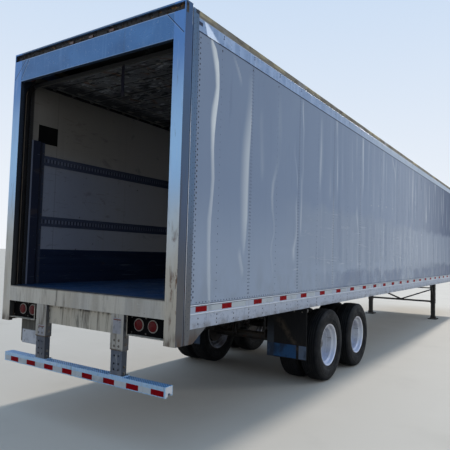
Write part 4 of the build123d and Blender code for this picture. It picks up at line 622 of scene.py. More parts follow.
# a bare edge at the head of the groove, and a dark cap beside it
bare = outside * X.band(REAR + 0.103, REAR + 0.118, 0.001) * Z.step(3.9, 3.93)
f.paint(bare, (196, 204, 208), 0.85, 0.4, 0.3)
f.paint(outside * X.step(REAR + 0.15, REAR + 0.156) * Z.step(4.045, 4.055), (34, 36, 42), 0.9, 0.8, 0)
# flush rivets along the corner member, and the dirt round each
rivets = side * (dots(X, Z, 0, PITCH, 0.005, REAR + 0.136, 1.4)
    | dots(X, Z, 0, PITCH, 0.005, REAR + 0.172, 1.425))
f.paint(rivets, (34, 46, 70), 0.6, 0.6)
f.raise_by(rivets, 0.0015)
# the jamb's inner face stands in the dark of the door's tracks
inner = side * abs(Y).step(1.26, 1.25)
f.paint(inner, (8, 10, 14), 0.92, 0.7, 0.1)
gusset_seams(f)
gutter_dirt(f)
# brown stains and bruises low on the right post
bruise = noise(11, 5, (1, 1, 0.4), 0.65, 0.6).step(0.51, 0.62) * Z.band(1.16, 2, 0.25)
bruise = bruise * Y.step(-1.2, -1.225) * facing("-x")
f.paint(bruise, (104, 64, 36), 0.85, 0.8, 0.05)
foot = Z.step(1.14, 0.99) * noise(14, 4, (1, 1, 0.3)).step(0.42, 0.58)
f.paint(foot, (84, 62, 44), 0.75, 0.85, 0.05)
f.paint(noise(1, 3, (60, 60, 2.5)).step(0.62, 0.7) * facing("-x"), (204, 210, 214), 0.3)
f.scratches((70, 66, 62), 0.35, (44, 44, 3), 1.3)
f.grain(500, 0.00015, 2, (1, 1, 0.05))
f.raise_by(noise(3, 2, (1, 1, 0.4)), 0.0015)

# The header's blue is a painted reflection of the sky
f = Finish("header_plate", (78, 118, 164), 0.36, 0.68)
f.vary_rough(0.24, 0.42, 4, (1, 0.4, 1))
face = facing("-x")
# broad soft clouds of tone: painted reflections, as thin sheet shows them
f.paint(noise(1.5, 3, (1, 1, 1.6), 0.5, 0.6).step(0.48, 0.68), (88, 132, 180), 0.5)
f.paint(noise(1.1, 3, (1, 1, 1.8), 0.5, 0.4, (5, 3, 1)).step(0.5, 0.66), (64, 96, 136), 0.5)
f.streaks((54, 66, 84), 0.3, 12, 0.58, 0.76)
f.paint(face * noise(24, 3, (1, 1, 0.07)).step(0.5, 0.75), (112, 146, 186), 0.35)
gusset_seams(f)
gutter_dirt(f)
f.paint(face * Z.band(3.773, 3.779, 0.002), (136, 158, 186), 0.7, 0.4)
f.paint(face * Z.band(4.018, 4.025, 0.002), (168, 184, 206), 0.6, 0.35)
f.paint(Z.step(4.101, 4.104) * noise(4, 3, (1, 0.5, 1)).step(0.3, 0.5), (116, 112, 102), 0.5, 0.6)
inner = X.step(REAR + 0.009, REAR + 0.012) * Z.step(4.02, 4.01)
f.paint(inner, (58, 60, 62), 0.7, 0.7, 0.3)
f.scratches((200, 208, 216), 0.3, (3, 60, 60))
f.grain(500, 0.00015, 2, (1, 0.05, 1))
f.raise_by(noise(2.4, 2, (1, 0.5, 1)), 0.002)

f = stainless("sill_plate")
f.paint(noise(2.2, 5).step(0.25, 0.6), (192, 186, 174), 0.75, 0.55, 0.3)
f.paint(noise(21, 5, (1, 1, 0.12), 0.65, 0.8).step(0.5, 0.74) * facing("-x"), (128, 118, 106), 0.7, 0.7, 0.15)
f.paint(noise(7, 5, (1, 1, 0.14), 0.7, 1, (5, 2, 0)).step(0.62, 0.72) * facing("-x"), (84, 76, 68), 0.65, 0.8,
    0.1)
f.paint(noise(1.6, 3, (1, 1, 0.4)).step(0.5, 0.62) * facing("-x"), (168, 168, 168), 0.4, 0.5, 0.4)
f.specks((74, 60, 46), 22, 0.12, 0.7, 0.8)
f.paint(noise(5, 3, (1, 1, 0.2), 0.6, 0.3, (2, 7, 1)).step(0.5, 0.64), (158, 150, 138), 0.4, 0.6)
lip = Z.step(1.372, 1.38) * facing("-x")
f.paint(lip, (108, 104, 98), 0.6, 0.5, 0.6)
# painted shade on the sill's top face
f.paint(facing("+z"), (70, 80, 96), 0.75, 0.4, 0.6)
f.scratches((196, 196, 192), 0.5, (3, 30, 90))
f.grain(300, 0.0003, 3)
f.raise_by(noise(8), 0.0015)

f = stainless("skirt_plate", shine=0.1)
f.paint(noise(2, 5).step(0.2, 0.6), (194, 186, 170), 0.85, 0.6, 0.25)
streak = noise(11, 6, (1, 1, 0.12), 0.7, 1.2).step(0.46, 0.66)
f.paint(streak, (112, 104, 94), 0.8, 0.8, 0.1)
f.paint(noise(6, 5, (1, 1, 0.13), 0.7, 1, (9, 4, 2)).step(0.6, 0.7), (50, 46, 42), 0.7, 0.9, 0)
# dark drips that start under the sill
drip = noise(8, 3, (1, 1, 0.02), 0.6, 0.6, (2, 0, 0)).step(0.5, 0.62) * (Z + noise(9) * 0.1).step(1.225, 1.262)
f.paint(drip, (38, 35, 33), 0.75, 0.9, 0)
# the lamp boxes: black inside, with a bare lower ledge
box = abs(Y).step(0.697, 0.699) * X.step(REAR + 0.01, REAR + 0.014) * Z.step(1.036, 1.0365)
f.paint(box, (3, 3, 4), 1, 0.85, 0)
f.paint(Z.step(1.031, 1.03) * abs(Y).step(0.69, 0.7), (52, 52, 50), 0.8, 0.7, 0.1)
f.specks((126, 114, 98), 26, 0.12, 0.5, 0.9)
f.grain(260, 0.0004)


def galvanised(name, base):
    f = Finish(name, base, 0.48, 0.45)
    f.vary_rough(0.4, 0.62, 9)
    return f


# The bar's pale blue, and the deeper blue of its top, are painted reflections of the sky
f = galvanised("guard_bar_metal", (158, 196, 228))
f.shades((138, 180, 218), (196, 214, 232), 2.5, 0.8, (1, 0.6, 1))
crystals = cells(60).step(0.25, 0.6)
f.paint(crystals, (204, 216, 230), 0.35)
f.specks((116, 104, 90), 30, 0.13, 0.65, 0.8)
f.streaks((142, 138, 132), 0.5, 30, 0.52, 0.7)
# the anti-slip holes pressed into the top
top = facing("+z") * Z.step(0.625, 0.63)
pressed = top * (dots(X, Y, 0.026, 0.03, 0.0065, REAR + 0.02, 0)
    | dots(X, Y, 0.026, 0.03, 0.0065, REAR + 0.033, 0.015))
f.paint(top, (112, 182, 244), 0.85, 0.4, 0.3)
f.paint(pressed, (30, 84, 136), 0.85, 0.6, 0.2)
f.raise_by(pressed, -0.003)
f.grain(240, 0.0003)

f = galvanised("guard_post_metal", (94, 100, 112))
f.shades((66, 74, 88), (132, 132, 134), 3, 0.8, (1, 1, 0.6))
f.paint(Z.step(0.871, 0.874), (172, 168, 160), 0.9, 0.5, 0.4)
# painted shade on the posts' sides
f.paint(facing("|y"), (36, 46, 60), 0.8, 0.6, 0.2)
f.paint(Z.step(0.871, 0.874) * noise(14, 4, (1, 1, 0.12), 0.6, 0.4).step(0.52, 0.68), (108, 98, 84), 0.8, 0.75,
    0.1)
f.specks((62, 56, 50), 24, 0.16, 0.8, 0.85)
f.paint(Z.band(0.868, 0.884, 0.004) * noise(12).step(0.35, 0.55), (78, 58, 40), 0.8, 0.85, 0)
f.streaks((60, 50, 40), 0.6, 18, 0.5, 0.7)
f.scratches((176, 176, 172), 0.4, (30, 30, 5))
f.grain(260, 0.0004)


def chassis_paint(name, base, dust):
    f = Finish(name, base, 0.55)
    f.vary_rough(0.42, 0.72, 8)
    f.shades((16, 17, 19), (38, 38, 40), 3)
    f.road_dirt((92, 80, 66), 0.35, 1.25, dust)
    f.paint(facing("+z", 0.3) * noise(4, 5).step(0.25, 0.6), (104, 94, 80), 0.55, 0.9)
    f.specks((120, 106, 88), 46, 0.15, 0.5, 0.9)
    rust = noise(13, 6, EVEN, 0.68).step(0.6, 0.68)
    f.paint(rust, (98, 54, 28), 0.7, 0.9, 0)
    f.grain(150, 0.0005, 4)


f = Finish("crossmember_paint", (52, 53, 56), 0.6, 0.1)
f.shades((36, 37, 40), (76, 74, 72), 2.5)
f.road_dirt((120, 104, 84), 1, 1.5, 0.6)
f.paint(noise(9, 6, EVEN, 0.7).step(0.58, 0.68), (104, 60, 34), 0.7, 0.9)
f.grain(140, 0.0005, 4)

# The planks' deep blue is painted sky light and reflection on dark wood
f = Finish("floor_planks", (22, 60, 102), 0.42)
f.vary_rough(0.34, 0.62, 4)
strip = Field("TexWhiteNoise", {"W": maths("FLOOR", Y / 0.0305)}, "Value", noise_dimensions="1D")
f.paint(strip.step(0.2, 0.9), (34, 70, 108), 0.5)
f.paint(noise(3, 5, (0.35, 40, 1), 0.6, 0.3).step(0.45, 0.7), (12, 36, 66), 0.6)
f.paint(noise(1.3, 4, (0.5, 1, 1)).step(0.5, 0.7), (38, 72, 112), 0.55, 0.34)
f.scratches((120, 116, 110), 0.6, (3, 90, 4))
f.specks((28, 26, 24), 8, 0.14, 0.7)
joint = Y.line(0.0305, 0, 0.0006, 0.0012)
f.raise_by(joint, -0.0008)
f.grain(60, 0.0006, 4, (0.08, 1, 1))

f = Finish("track_paint", (76, 84, 106), 0.45, 0.2)
f.vary_rough(0.36, 0.6, 7)
f.shades((58, 66, 90), (98, 106, 126), 2, 0.7, (0.6, 1, 1))
# the ribbed sheet along the foot of the wall is dark with scuffs
foot = Z.step(1.87, 1.86) * X.step(GUARD_END - 0.001, GUARD_END + 0.001)
f.paint(foot, (30, 44, 72), 0.9, 0.4, 0.3)
f.paint(foot * noise(2.4, 4, (0.3, 1, 2.4), 0.6, 0.5).step(0.52, 0.66), (48, 66, 92), 0.6, 0.4)
# the steel guard behind the door's track: dark, with a painted highlight along its rear edge and a paler fold
guard = X.step(GUARD_END + 0.001, GUARD_END - 0.001)
f.paint(guard, (32, 38, 58), 0.92, 0.5, 0.3)
f.paint(guard * X.step(REAR + 0.352, REAR + 0.372), (78, 84, 102), 0.7, 0.45)
f.paint(guard * X.step(GUARD_START + 0.022, GUARD_START + 0.014), (150, 156, 176), 0.85, 0.4, 0.3)
f.scratches((118, 124, 136), 0.6, (2, 30, 60))
# painted highlights on the bars between the slots
bars = X.step(GUARD_END + 0.01, GUARD_END + 0.015) * X.line(PITCH, REAR + 0.4837, 0.011, 0.003)
bars = bars * (Z.band(2.134, 2.178) | Z.band(2.894, 2.938))
f.paint(bars, (140, 146, 166), 0.55, 0.45)
f.paint(noise(6, 5, (0.3, 1, 1), 0.65).step(0.58, 0.66) * Z.step(1.2, 2, 1, 0.5), (92, 74, 60), 0.55, 0.85, 0)
f.specks((150, 146, 140), 24, 0.1, 0.5)
f.grain(200, 0.0003)

# The inner face of the raised door: dull skin in worn, water-marked bands, dark at each joint
f = Finish("door_board", (124, 124, 124), 0.4, 0.25)
f.vary_rough(0.28, 0.55, 5)
f.shades((62, 60, 62), (182, 182, 180), 2.4, 0.95, (1, 0.5, 1))
f.paint(noise(4.5, 5, (2.2, 0.7, 1), 0.6, 1.4).step(0.53, 0.61), (26, 25, 30), 0.85, 0.7)
f.paint(noise(5.5, 5, (2, 0.6, 1), 0.6, 2.2, (4, 1, 0)).step(0.54, 0.64), (226, 228, 228), 0.9, 0.4)
f.paint(noise(3, 6, (1, 1.5, 1), 0.7, 0.6, (1, 8, 0)).step(0.57, 0.66), (150, 104, 62), 0.7, 0.8, 0)
f.paint(noise(2.2, 3, EVEN, 0.6, 0.4, (9, 2, 0)).step(0.58, 0.66), (26, 26, 52), 0.5, 0.7)
# painted shade: dark towards the walls
f.paint(abs(Y).step(0.74, 0.98), (12, 11, 16), 0.85, 0.8, 0)
joint = X.line(SECTION, REAR + 0.5015, 0.008, 0.01)
f.paint(joint, (10, 10, 12), 0.9, 0.8, 0)
f.paint(X.line(SECTION, REAR + 0.53, 0.003, 0.006), (150, 150, 150), 0.4, 0.5)
# the bottom rail: a black seal behind, a bare lip under it
rail = X.step(REAR + 0.262, REAR + 0.25)
f.paint(rail, (18, 17, 17), 0.95, 0.8, 0)
f.paint(rail * facing("-z", 0.6), (124, 118, 108), 0.75, 0.5, 0.3)
f.specks((44, 40, 38), 14, 0.16, 0.7)
f.grain(120, 0.0006, 4)
f.raise_by(noise(7, 2), 0.002)

# The roll-up door's channels: black, a painted shade, with dirt inside, and pale along the lips
f = Finish("door_track_steel", (34, 33, 34), 0.55, 0.3)
f.shades((20, 20, 22), (58, 56, 54), 4, 0.8)
f.paint(abs(Y).step(INNER - 0.018, INNER - 0.024) * X.band(REAR + 0.112, REAR + 0.137, 0.002), (176, 158, 140),
    0.85, 0.5, 0.2)
f.paint(noise(15, 6, EVEN, 0.7).step(0.6, 0.67), (76, 54, 40), 0.6, 0.85, 0)
f.streaks((70, 60, 54), 0.5, 16, 0.52, 0.7)
f.grain(260, 0.0003)

f = Finish("door_metal", (148, 146, 140), 0.45, 0.6)
f.shades((110, 106, 100), (172, 170, 164), 4, 0.8)
f.streaks((84, 62, 44), 0.55, 16, 0.52, 0.7)
f.paint(noise(15, 6, EVEN, 0.7).step(0.6, 0.67), (106, 62, 34), 0.7, 0.85, 0)
f.grain(260, 0.0003)

f = Finish("balancer_paint", (96, 52, 38), 0.6)
f.shades((66, 36, 28), (124, 74, 54), 3, 0.8)
f.specks((36, 28, 24), 20, 0.16, 0.7)
f.paint(noise(8, 5, (1, 0.5, 1)).step(0.58, 0.68), (128, 118, 104), 0.6, 0.8)
f.raise_by(abs(Y.wrap(0.012)).step(0.001, 0.004), 0.003)
f.grain(180, 0.0004)

f = Finish("strap_web", (16, 16, 28), 0.9, shine=0.15)
f.shades((10, 10, 22), (26, 25, 34), 12, 0.7, (1, 1, 0.4))
weave = maths("SINE", Z * 2600) * maths("SINE", Y * 2200)
f.raise_by(weave, 0.0003)
f.paint(weave.step(0.2, 0.8), (30, 29, 38), 0.4)
f.paint(Z.step(3.5, 3.4), (52, 47, 44), 0.5, 0.9)


def from_spindle(axle_x):
    """How far a point is from the spindle's axis."""
    dx = X - axle_x
    dz = Z - AXLE_Z
    return maths("SQRT", dx * dx + dz * dz)


def wheel_finish(name, axle_x):
    f = Finish(name, (228, 231, 237), 0.34)
    f.vary_rough(0.26, 0.5, 7)
    f.shades((214, 218, 226), (236, 238, 241), 3)
    far = from_spindle(axle_x)
    # painted light: greyer and warmer high in the rim, bluer low down where it mirrors the shaded ground
    up = Z - AXLE_Z
    f.paint(up.step(0.02, 0.24) * noise(4, 4).step(0.3, 0.6), (176, 168, 174), 0.7, 0.45)
    f.paint(up.step(-0.02, -0.24), (190, 204, 238), 0.8, 0.35)
    # painted shade: the dish grows darker towards the hub
    f.paint(far.step(0.215, 0.13), (138, 146, 162), 0.75, 0.5)
    # brake dust round the hub, grime in the rim's corner, and a worn lip
    f.paint(far.step(0.2, 0.12) * noise(9, 6).step(0.35, 0.7), (160, 154, 148), 0.5, 0.6)
    f.paint(far.band(0.24, 0.262, 0.006) * noise(10, 5).step(0.4, 0.66), (160, 156, 152), 0.35, 0.8)
    f.paint(far.step(0.294, 0.301) * noise(16, 6).step(0.48, 0.62), (120, 108, 96), 0.6, 0.8)
    f.paint(noise(5, 5, EVEN, 0.6, 0.8).step(0.56, 0.7) * far.step(0.25, 0.29), (214, 214, 218), 0.4, 0.5)
    f.specks((96, 84, 72), 60, 0.14, 0.6, 0.8)
    f.paint(far.step(0.112, 0.108), (84, 84, 86), 0.75, 0.45, 0.5)
    inner = abs(Y).step(0.97, 0.94)
    f.paint(inner * noise(6, 5).step(0.2, 0.6), (96, 84, 70), 0.8, 0.85)
    f.grain(220, 0.0003)


def tyre_finish(name, axle_x):
    # a little blue in the black rubber: a painted reflection of the sky
    f = Finish(name, (10, 13, 19), 0.75, shine=0.22)
    f.vary_rough(0.62, 0.88, 12)
    far = from_spindle(axle_x)
    side = far.step(0.505, 0.495)
    f.shades((7, 9, 14), (18, 21, 28), 5)
    # brown dust on the sidewall, heaviest below the shoulder, and a pale ring at the bead
    f.paint(far.band(0.4, 0.49, 0.03) * noise(6, 6).step(0.4, 0.7), (40, 37, 34), 0.45, 0.9)
    f.paint(far.band(0.305, 0.33, 0.008) * noise(14, 5).step(0.35, 0.65), (56, 52, 48), 0.5, 0.9)
    f.paint(far.band(0.447, 0.455, 0.003) * noise(9).step(0.35, 0.6), (74, 72, 70), 0.45, 0.9)
    f.paint(far.step(0.507, 0.512) * noise(10, 6).step(0.3, 0.6), (34, 33, 32), 0.6, 0.85)
    f.specks((76, 70, 62), 70, 0.14, 0.4, 0.95)
    f.grain(300, 0.0004, 4)
    # fine mould ribs round the sidewall
    f.raise_by(side * abs(far.wrap(0.006)).step(0.0008, 0.002), 0.0004)


f = Finish("flap_rubber", (12, 13, 16), 0.72, shine=0.25)
f.shades((8, 9, 11), (24, 24, 27), 4, 0.7, (1, 1, 0.6))
f.streaks((38, 35, 34), 0.5, 10, 0.48, 0.7)
f.road_dirt((56, 50, 44), 0.38, 0.9, 0.3)
# painted sky light: the lower part of the flap's faces is blue
low = Z.band(0.392, 0.572, 0.002) * (1 - abs(Y).band(1.058, 1.097, 0.002)) * facing("|x")
f.paint(low, (36, 84, 132), 0.9, 0.45)
# a bar of dust thrown across the flap by the tyres
slant = abs(Y) * 1.1 + Z * 0.9
dusty = (slant + noise(5, 4) * 0.16).band(1.72, 1.82, 0.06) * Z.band(0.5, 0.93, 0.05)
dusty = dusty * noise(9, 5, EVEN, 0.65).step(0.36, 0.58)
f.paint(dusty, (92, 82, 70), 0.7, 0.9)
f.paint(abs(Y).step(0.712, 0.704) * Z.step(0.9, 0.6), (74, 84, 96), 0.6, 0.6)
f.paint(low * abs(Y).step(1.09, 1.1), (104, 116, 134), 0.8, 0.45)
f.paint(low * noise(8, 5, (1, 1, 0.5)).step(0.5, 0.66), (36, 42, 54), 0.7, 0.8)
f.raise_by(abs(Y.wrap(0.04)).step(0.002, 0.006), 0.0015)
f.grain(160, 0.0005)

f = Finish("white_plate", (186, 190, 198), 0.4, 0.1)
f.shades((150, 154, 164), (204, 207, 212), 9, 0.8)
f.streaks((110, 102, 92), 0.6, 26, 0.5, 0.7)
f.specks((74, 70, 66), 50, 0.16, 0.7)
rim = 1 - Y.band(0.68, 0.969, 0.001) | 1 - Z.band(0.765, 0.901, 0.001)
f.paint(rim, (120, 122, 126), 0.5)
f.raise_by(rim, 0.0008)
f.grain(200, 0.0003)

f = Finish("machined_steel", (122, 120, 116), 0.42, 0.8)
f.shades((92, 88, 82), (150, 148, 144), 14)
f.paint(noise(22, 5, EVEN, 0.7).step(0.58, 0.67), (100, 62, 36), 0.6, 0.85, 0)
f.grain(400, 0.0002)

f = Finish("grease_steel", (60, 56, 50), 0.32, 0.5)
f.shades((34, 30, 26), (104, 98, 90), 10, 0.8)
f.grain(160, 0.0006)

f = Finish("rivet_metal", (70, 80, 104), 0.45, 0.2)
f.shades((54, 64, 88), (96, 106, 128), 30)
f.paint(Z.step(2.1, 2.9), (112, 126, 152), 0.75)
f.grain(900, 0.0001)

f = Finish("rivet_dirt", (62, 70, 90), 0.75)
f.shades((44, 50, 68), (90, 98, 118), 18, 0.8)
f.paint(Z.step(2.1, 2.9), (112, 124, 148), 0.8)
f.grain(500, 0.0002)

# Rivets beside the rear frame, black with old dirt
f = Finish("rivet_edge", (24, 30, 50), 0.7)
f.shades((14, 20, 38), (44, 54, 78), 24, 0.8)
f.grain(600, 0.0002)


def tape(name, colour, dark):
    f = Finish(name, colour, 0.6, shine=0.06)
    f.vary_rough(0.5, 0.75, 20)
    f.shades(dark, colour, 6)
    # the fine sealed cells of reflective sheeting
    cell = (X + Z).line(0.009, 0, 0.0004, 0.0004) | (X - Z).line(0.009, 0, 0.0004, 0.0004)
    cell_y = (Y + Z).line(0.009, 0, 0.0004, 0.0004) | (Y - Z).line(0.009, 0, 0.0004, 0.0004)
    across = facing("|x")
    f.raise_by(mix(across, cell, cell_y), 0.0002)
    f.specks(scaled(colour, 0.5), 40, 0.14, 0.6, 0.8)
    f.streaks(scaled(colour, 0.7), 0.35, 26, 0.55, 0.75)


# White paint on the guard bar's ends, chipped and dusty
f = Finish("end_paint", (214, 218, 224), 0.45)
f.shades((190, 196, 206), (226, 229, 233), 12)
f.specks((110, 100, 88), 40, 0.14, 0.6, 0.8)
f.paint(noise(18, 5, EVEN, 0.7).step(0.6, 0.68), (128, 132, 138), 0.7, 0.6, 0.3)
f.grain(260, 0.0003)


def label(name, colour):
    """A blank label, faded and scraped."""
    f = Finish(name, colour, 0.5)
    f.shades(scaled(colour, 0.82), scaled(colour, 1.1), 14, 0.8)
    f.paint(noise(30, 5, (1, 1, 0.6), 0.65).step(0.58, 0.66), (92, 90, 88), 0.7, 0.7)
    f.grain(300, 0.0002)


f = Finish("lens_red", (92, 4, 8), 0.34, shine=0.14, coat=0.05)
f.shades((60, 3, 6), (104, 8, 12), 22)
grid = abs(Y.wrap(0.008)).step(0.0006, 0.002) * abs(Z.wrap(0.008)).step(0.0006, 0.002)
f.raise_by(grid, 0.0006)
f.specks((96, 60, 52), 60, 0.14, 0.5, 0.6)

f = Finish("lens_amber", (96, 52, 26), 0.3, coat=0.5)
f.shades((64, 34, 18), (128, 78, 44), 30)
f.raise_by(abs(X.wrap(0.006)).step(0.0006, 0.0018), 0.0005)

f = Finish("grommet", (168, 162, 152), 0.65)
f.shades((112, 106, 96), (190, 186, 176), 24, 0.8)
f.specks((66, 58, 50), 60, 0.16, 0.7)
f.grain(300, 0.0003)

f = Finish("dark_rubber", (24, 24, 25), 0.7)
f.shades((16, 16, 17), (44, 43, 41), 16)
f.grain(300, 0.0004)

# The painted-out square of an old vent: dead black, a little dusty
f = Finish("pocket", (9, 9, 10), 0.9, shine=0.15)
f.shades((6, 6, 7), (20, 19, 19), 9, 0.6)
f.grain(160, 0.0003)

f = Finish("bolt_metal", (104, 102, 98), 0.45, 0.7)
f.shades((66, 60, 54), (138, 136, 132), 30, 0.8)
f.paint(noise(60, 4, EVEN, 0.7).step(0.55, 0.65), (96, 58, 34), 0.7, 0.85, 0)
f.grain(500, 0.0003)

f = Finish("alloy", (160, 160, 158), 0.42, 0.75)
f.shades((120, 118, 114), (184, 184, 182), 12)
f.specks((72, 64, 54), 40, 0.14, 0.6)
f.grain(320, 0.0003)

# The front wall: sheet outside, lining inside
f = Finish("front_sheet", (160, 170, 186), 0.3)
f.shades((148, 158, 176), (170, 178, 192), 0.6, 0.8, (1, 1, 0.6))
f.streaks((132, 130, 126), 0.5, 16, 0.52, 0.74)
f.specks((96, 88, 78), 12, 0.08, 0.7)
f.paint(Z.step(2.1, 1.36) * noise(8, 6).step(0.35, 0.7), (138, 130, 118), 0.55, 0.7)
f.raise_by(noise(2, 2, (1, 1, 0.3)), 0.003)
seam = Y.line(1.22, 0.61, 0.002, 0.003)
f.paint(seam, (112, 116, 126), 0.7)
inside = X.step(FRONT - 0.03, FRONT - 0.034) * abs(Y).step(1.15, 1.14)
inside = inside | facing("-x", 0.1) * X.step(FRONT - 0.02, FRONT - 0.03)
f.paint(inside, (146, 145, 142), 0.9, 0.6)
f.grain(200, 0.0002)


tape("tape_red", (142, 3, 16), (104, 4, 12))
tape("tape_white", (198, 204, 208), (160, 168, 176))
label("label", (150, 150, 156))
label("label_head", (112, 58, 50))
chassis_paint("chassis_paint", (24, 25, 28), 0.42)
chassis_paint("landing_paint", (26, 27, 30), 0.3)
for end, axle_x in AXLES.items():
    tyre_finish(f"tyre_{end}", axle_x)
    wheel_finish(f"wheel_{end}", axle_x)


# Pieces

# The laps of the side sheets
SEAMS = [REAR + SHEET * k for k in range(1, 13)]


def smooth01(v):
    v = np.clip(v, 0.0, 1.0)
    return v * v * (3 - 2 * v)


def lap_step(x):
    """How far a sheet stands in ahead of a lap, where the one behind lies over it."""
    return sum(np.where((x > s) & (x < s + LAP_RUN), LAP * smooth01((s + LAP_RUN - x) / LAP_RUN), 0.0)
        for s in SEAMS)


def slack(z):
    """How free a side sheet is at a height: not at all where the rails hold it."""
    return smooth01((z - 1.34) / 0.06) * smooth01((3.9 - z) / 0.04)


# Buckles of the right wall's sheet: height, then the rear and front edge of the bright flank there.
# After them come the flank's slope, how strong the painted highlight on its crest is at each height, the
# heights that it spans, how far the painted highlight starts behind the rear edge, and over how much of the
# width it grows.
NEAR_CREASES = (
    (
        ((3.93, -7.716, -7.706), (3.83, -7.684, -7.606), (3.71, -7.638, -7.558), (3.59, -7.607, -7.543),
            (3.46, -7.592, -7.536), (3.36, -7.61, -7.542), (3.24, -7.642, -7.561), (3.12, -7.656, -7.58),
            (2.98, -7.652, -7.596), (2.83, -7.648, -7.6), (2.54, -7.624, -7.577), (2.36, -7.636, -7.592),
            (2.14, -7.672, -7.612), (1.93, -7.668, -7.617), (1.75, -7.66, -7.608), (1.57, -7.65, -7.596),
            (1.38, -7.626, -7.589)), 0.105,
        ((3.93, 0.72), (3.7, 1.0), (3.05, 0.92), (2.7, 0.5), (2.1, 0.34), (1.38, 0.34)),
        (3.9, 1.36), 0.32, 0.75),
    (
        ((3.82, -6.985, -6.9), (3.56, -6.984, -6.894), (3.26, -7.022, -6.896), (3.06, -7.056, -6.913),
            (2.83, -7.075, -6.929), (2.53, -7.079, -6.936), (2.22, -7.063, -6.938), (1.99, -7.052, -6.958),
            (1.86, -7.026, -6.984)), 0.12,
        ((3.82, 0.08), (3.5, 0.2), (3.25, 0.45), (2.95, 0.62), (2.2, 0.62), (1.9, 0.3)), (3.7, 1.9), 0.3, 1.2),
    (((3.86, -7.3, -7.262), (3.76, -7.22, -7.17), (3.66, -7.165, -7.11)), 0.12, ((3.86, 0.22), (3.66, 0.22)),
        (3.78, 3.72), 0.4, 0.9),
    (((1.8, -7.105, -7.05), (1.64, -7.05, -6.992)), 0.12, ((1.8, 0.3), (1.64, 0.25)), (1.77, 1.68), 0.4, 0.9))
# Narrower ones: where each runs, from the top down, then its half width, slope, way and the strength of its
# painted highlight
THIN_CREASES = (
    (
        ((3.6, -6.236), (3.23, -6.213), (3.05, -6.226), (2.88, -6.276), (2.67, -6.366), (2.49, -6.386),
            (2.34, -6.366), (2.19, -6.324), (2.06, -6.322), (1.95, -6.372), (1.84, -6.388), (1.64, -6.336)),
        0.026, 0.17, -1, 0.45),
    (((3.74, -5.579), (3.47, -5.541), (3.22, -5.553), (2.95, -5.545)), 0.022, 0.17, 1, 0.6),
    (((3.66, -4.951), (3.34, -4.949), (2.9, -4.966)), 0.022, 0.16, 1, 0.6),
    (((3.1, -5.8), (2.95, -5.745), (2.82, -5.712)), 0.02, 0.16, 1, 0.3),
    (((2.74, -5.58), (2.48, -5.58), (2.24, -5.583)), 0.022, 0.17, 1, 0.6),
    (((2.42, -5.73), (2.18, -5.702), (2.06, -5.717), (1.9, -5.78)), 0.024, 0.17, 1, 0.7),
    (((3.3, -6.68), (2.8, -6.632)), 0.022, 0.15, -1, 0.25),
    (((3.85, -4.349), (3.45, -4.332), (2.98, -4.308)), 0.026, 0.14, 1, 0.9),
    (((2.62, -4.449), (2.02, -4.456)), 0.026, 0.13, 1, 0.4),
    (((3.88, -3.108), (3.15, -3.082)), 0.028, 0.12, 1, 0.9),
    (((2.52, -3.395), (2.1, -3.273), (1.86, -3.336)), 0.026, 0.12, 1, 0.55),
    (((3.88, -1.862), (3.05, -1.834)), 0.03, 0.1, 1, 0.9), (((3.88, -1.244), (3.55, -1.02)), 0.03, 0.1, 1, 0.6),
    (((3.87, 0.533), (2.78, 0.521)), 0.034, 0.085, 1, 0.9), (((3.85, 1.9), (2.9, 1.972)), 0.036, 0.08, 1, 0.9),
    (((3.86, 3.098), (3.1, 3.17)), 0.036, 0.07, 1, 0.6), (((3.88, 3.998), (3.16, 4.01)), 0.036, 0.065, 1, 0.7),
    (((3.86, 4.32), (3.3, 4.33)), 0.034, 0.065, 1, 0.6), (((2.26, -0.187), (1.7, -0.173)), 0.03, 0.09, 1, 0.5),
    (((2.28, 0.993), (1.68, 0.993)), 0.032, 0.085, 1, 0.4))
# Fainter streaks that repeat along the far part of the wall, high up and low down
draw = np.random.default_rng(31)
FAINT_CREASES = []
for post in np.arange(-4.95, 7.6, 0.6096):
    for step in (0.0, 0.3):
        away = post + step + draw.uniform(-0.07, 0.07)
        high, low = draw.uniform(3.6, 3.86), draw.uniform(2.7, 3.2)
        FAINT_CREASES.append(
            (((high, away), (low, away + draw.uniform(-0.04, 0.04))), 0.026, draw.uniform(0.03, 0.07), 1,
                draw.uniform(0.1, 0.5)))
        high, low = draw.uniform(2.1, 2.45), draw.uniform(1.5, 1.8)
        FAINT_CREASES.append(
            (((high, away + 0.1), (low, away + 0.1 + draw.uniform(-0.05, 0.05))), 0.026,
                draw.uniform(0.03, 0.07), 1, draw.uniform(0.1, 0.5)))


def across(z, table, column):
    """A value of a crease's table at each height. Tables run from the top down."""
    heights = [row[0] for row in table][::-1]
    return np.interp(z, heights, [row[column] for row in table][::-1])


def fade(z, high, low, soft=0.14):
    return smooth01((high + soft - z) / soft) * smooth01((z - low + soft) / soft)


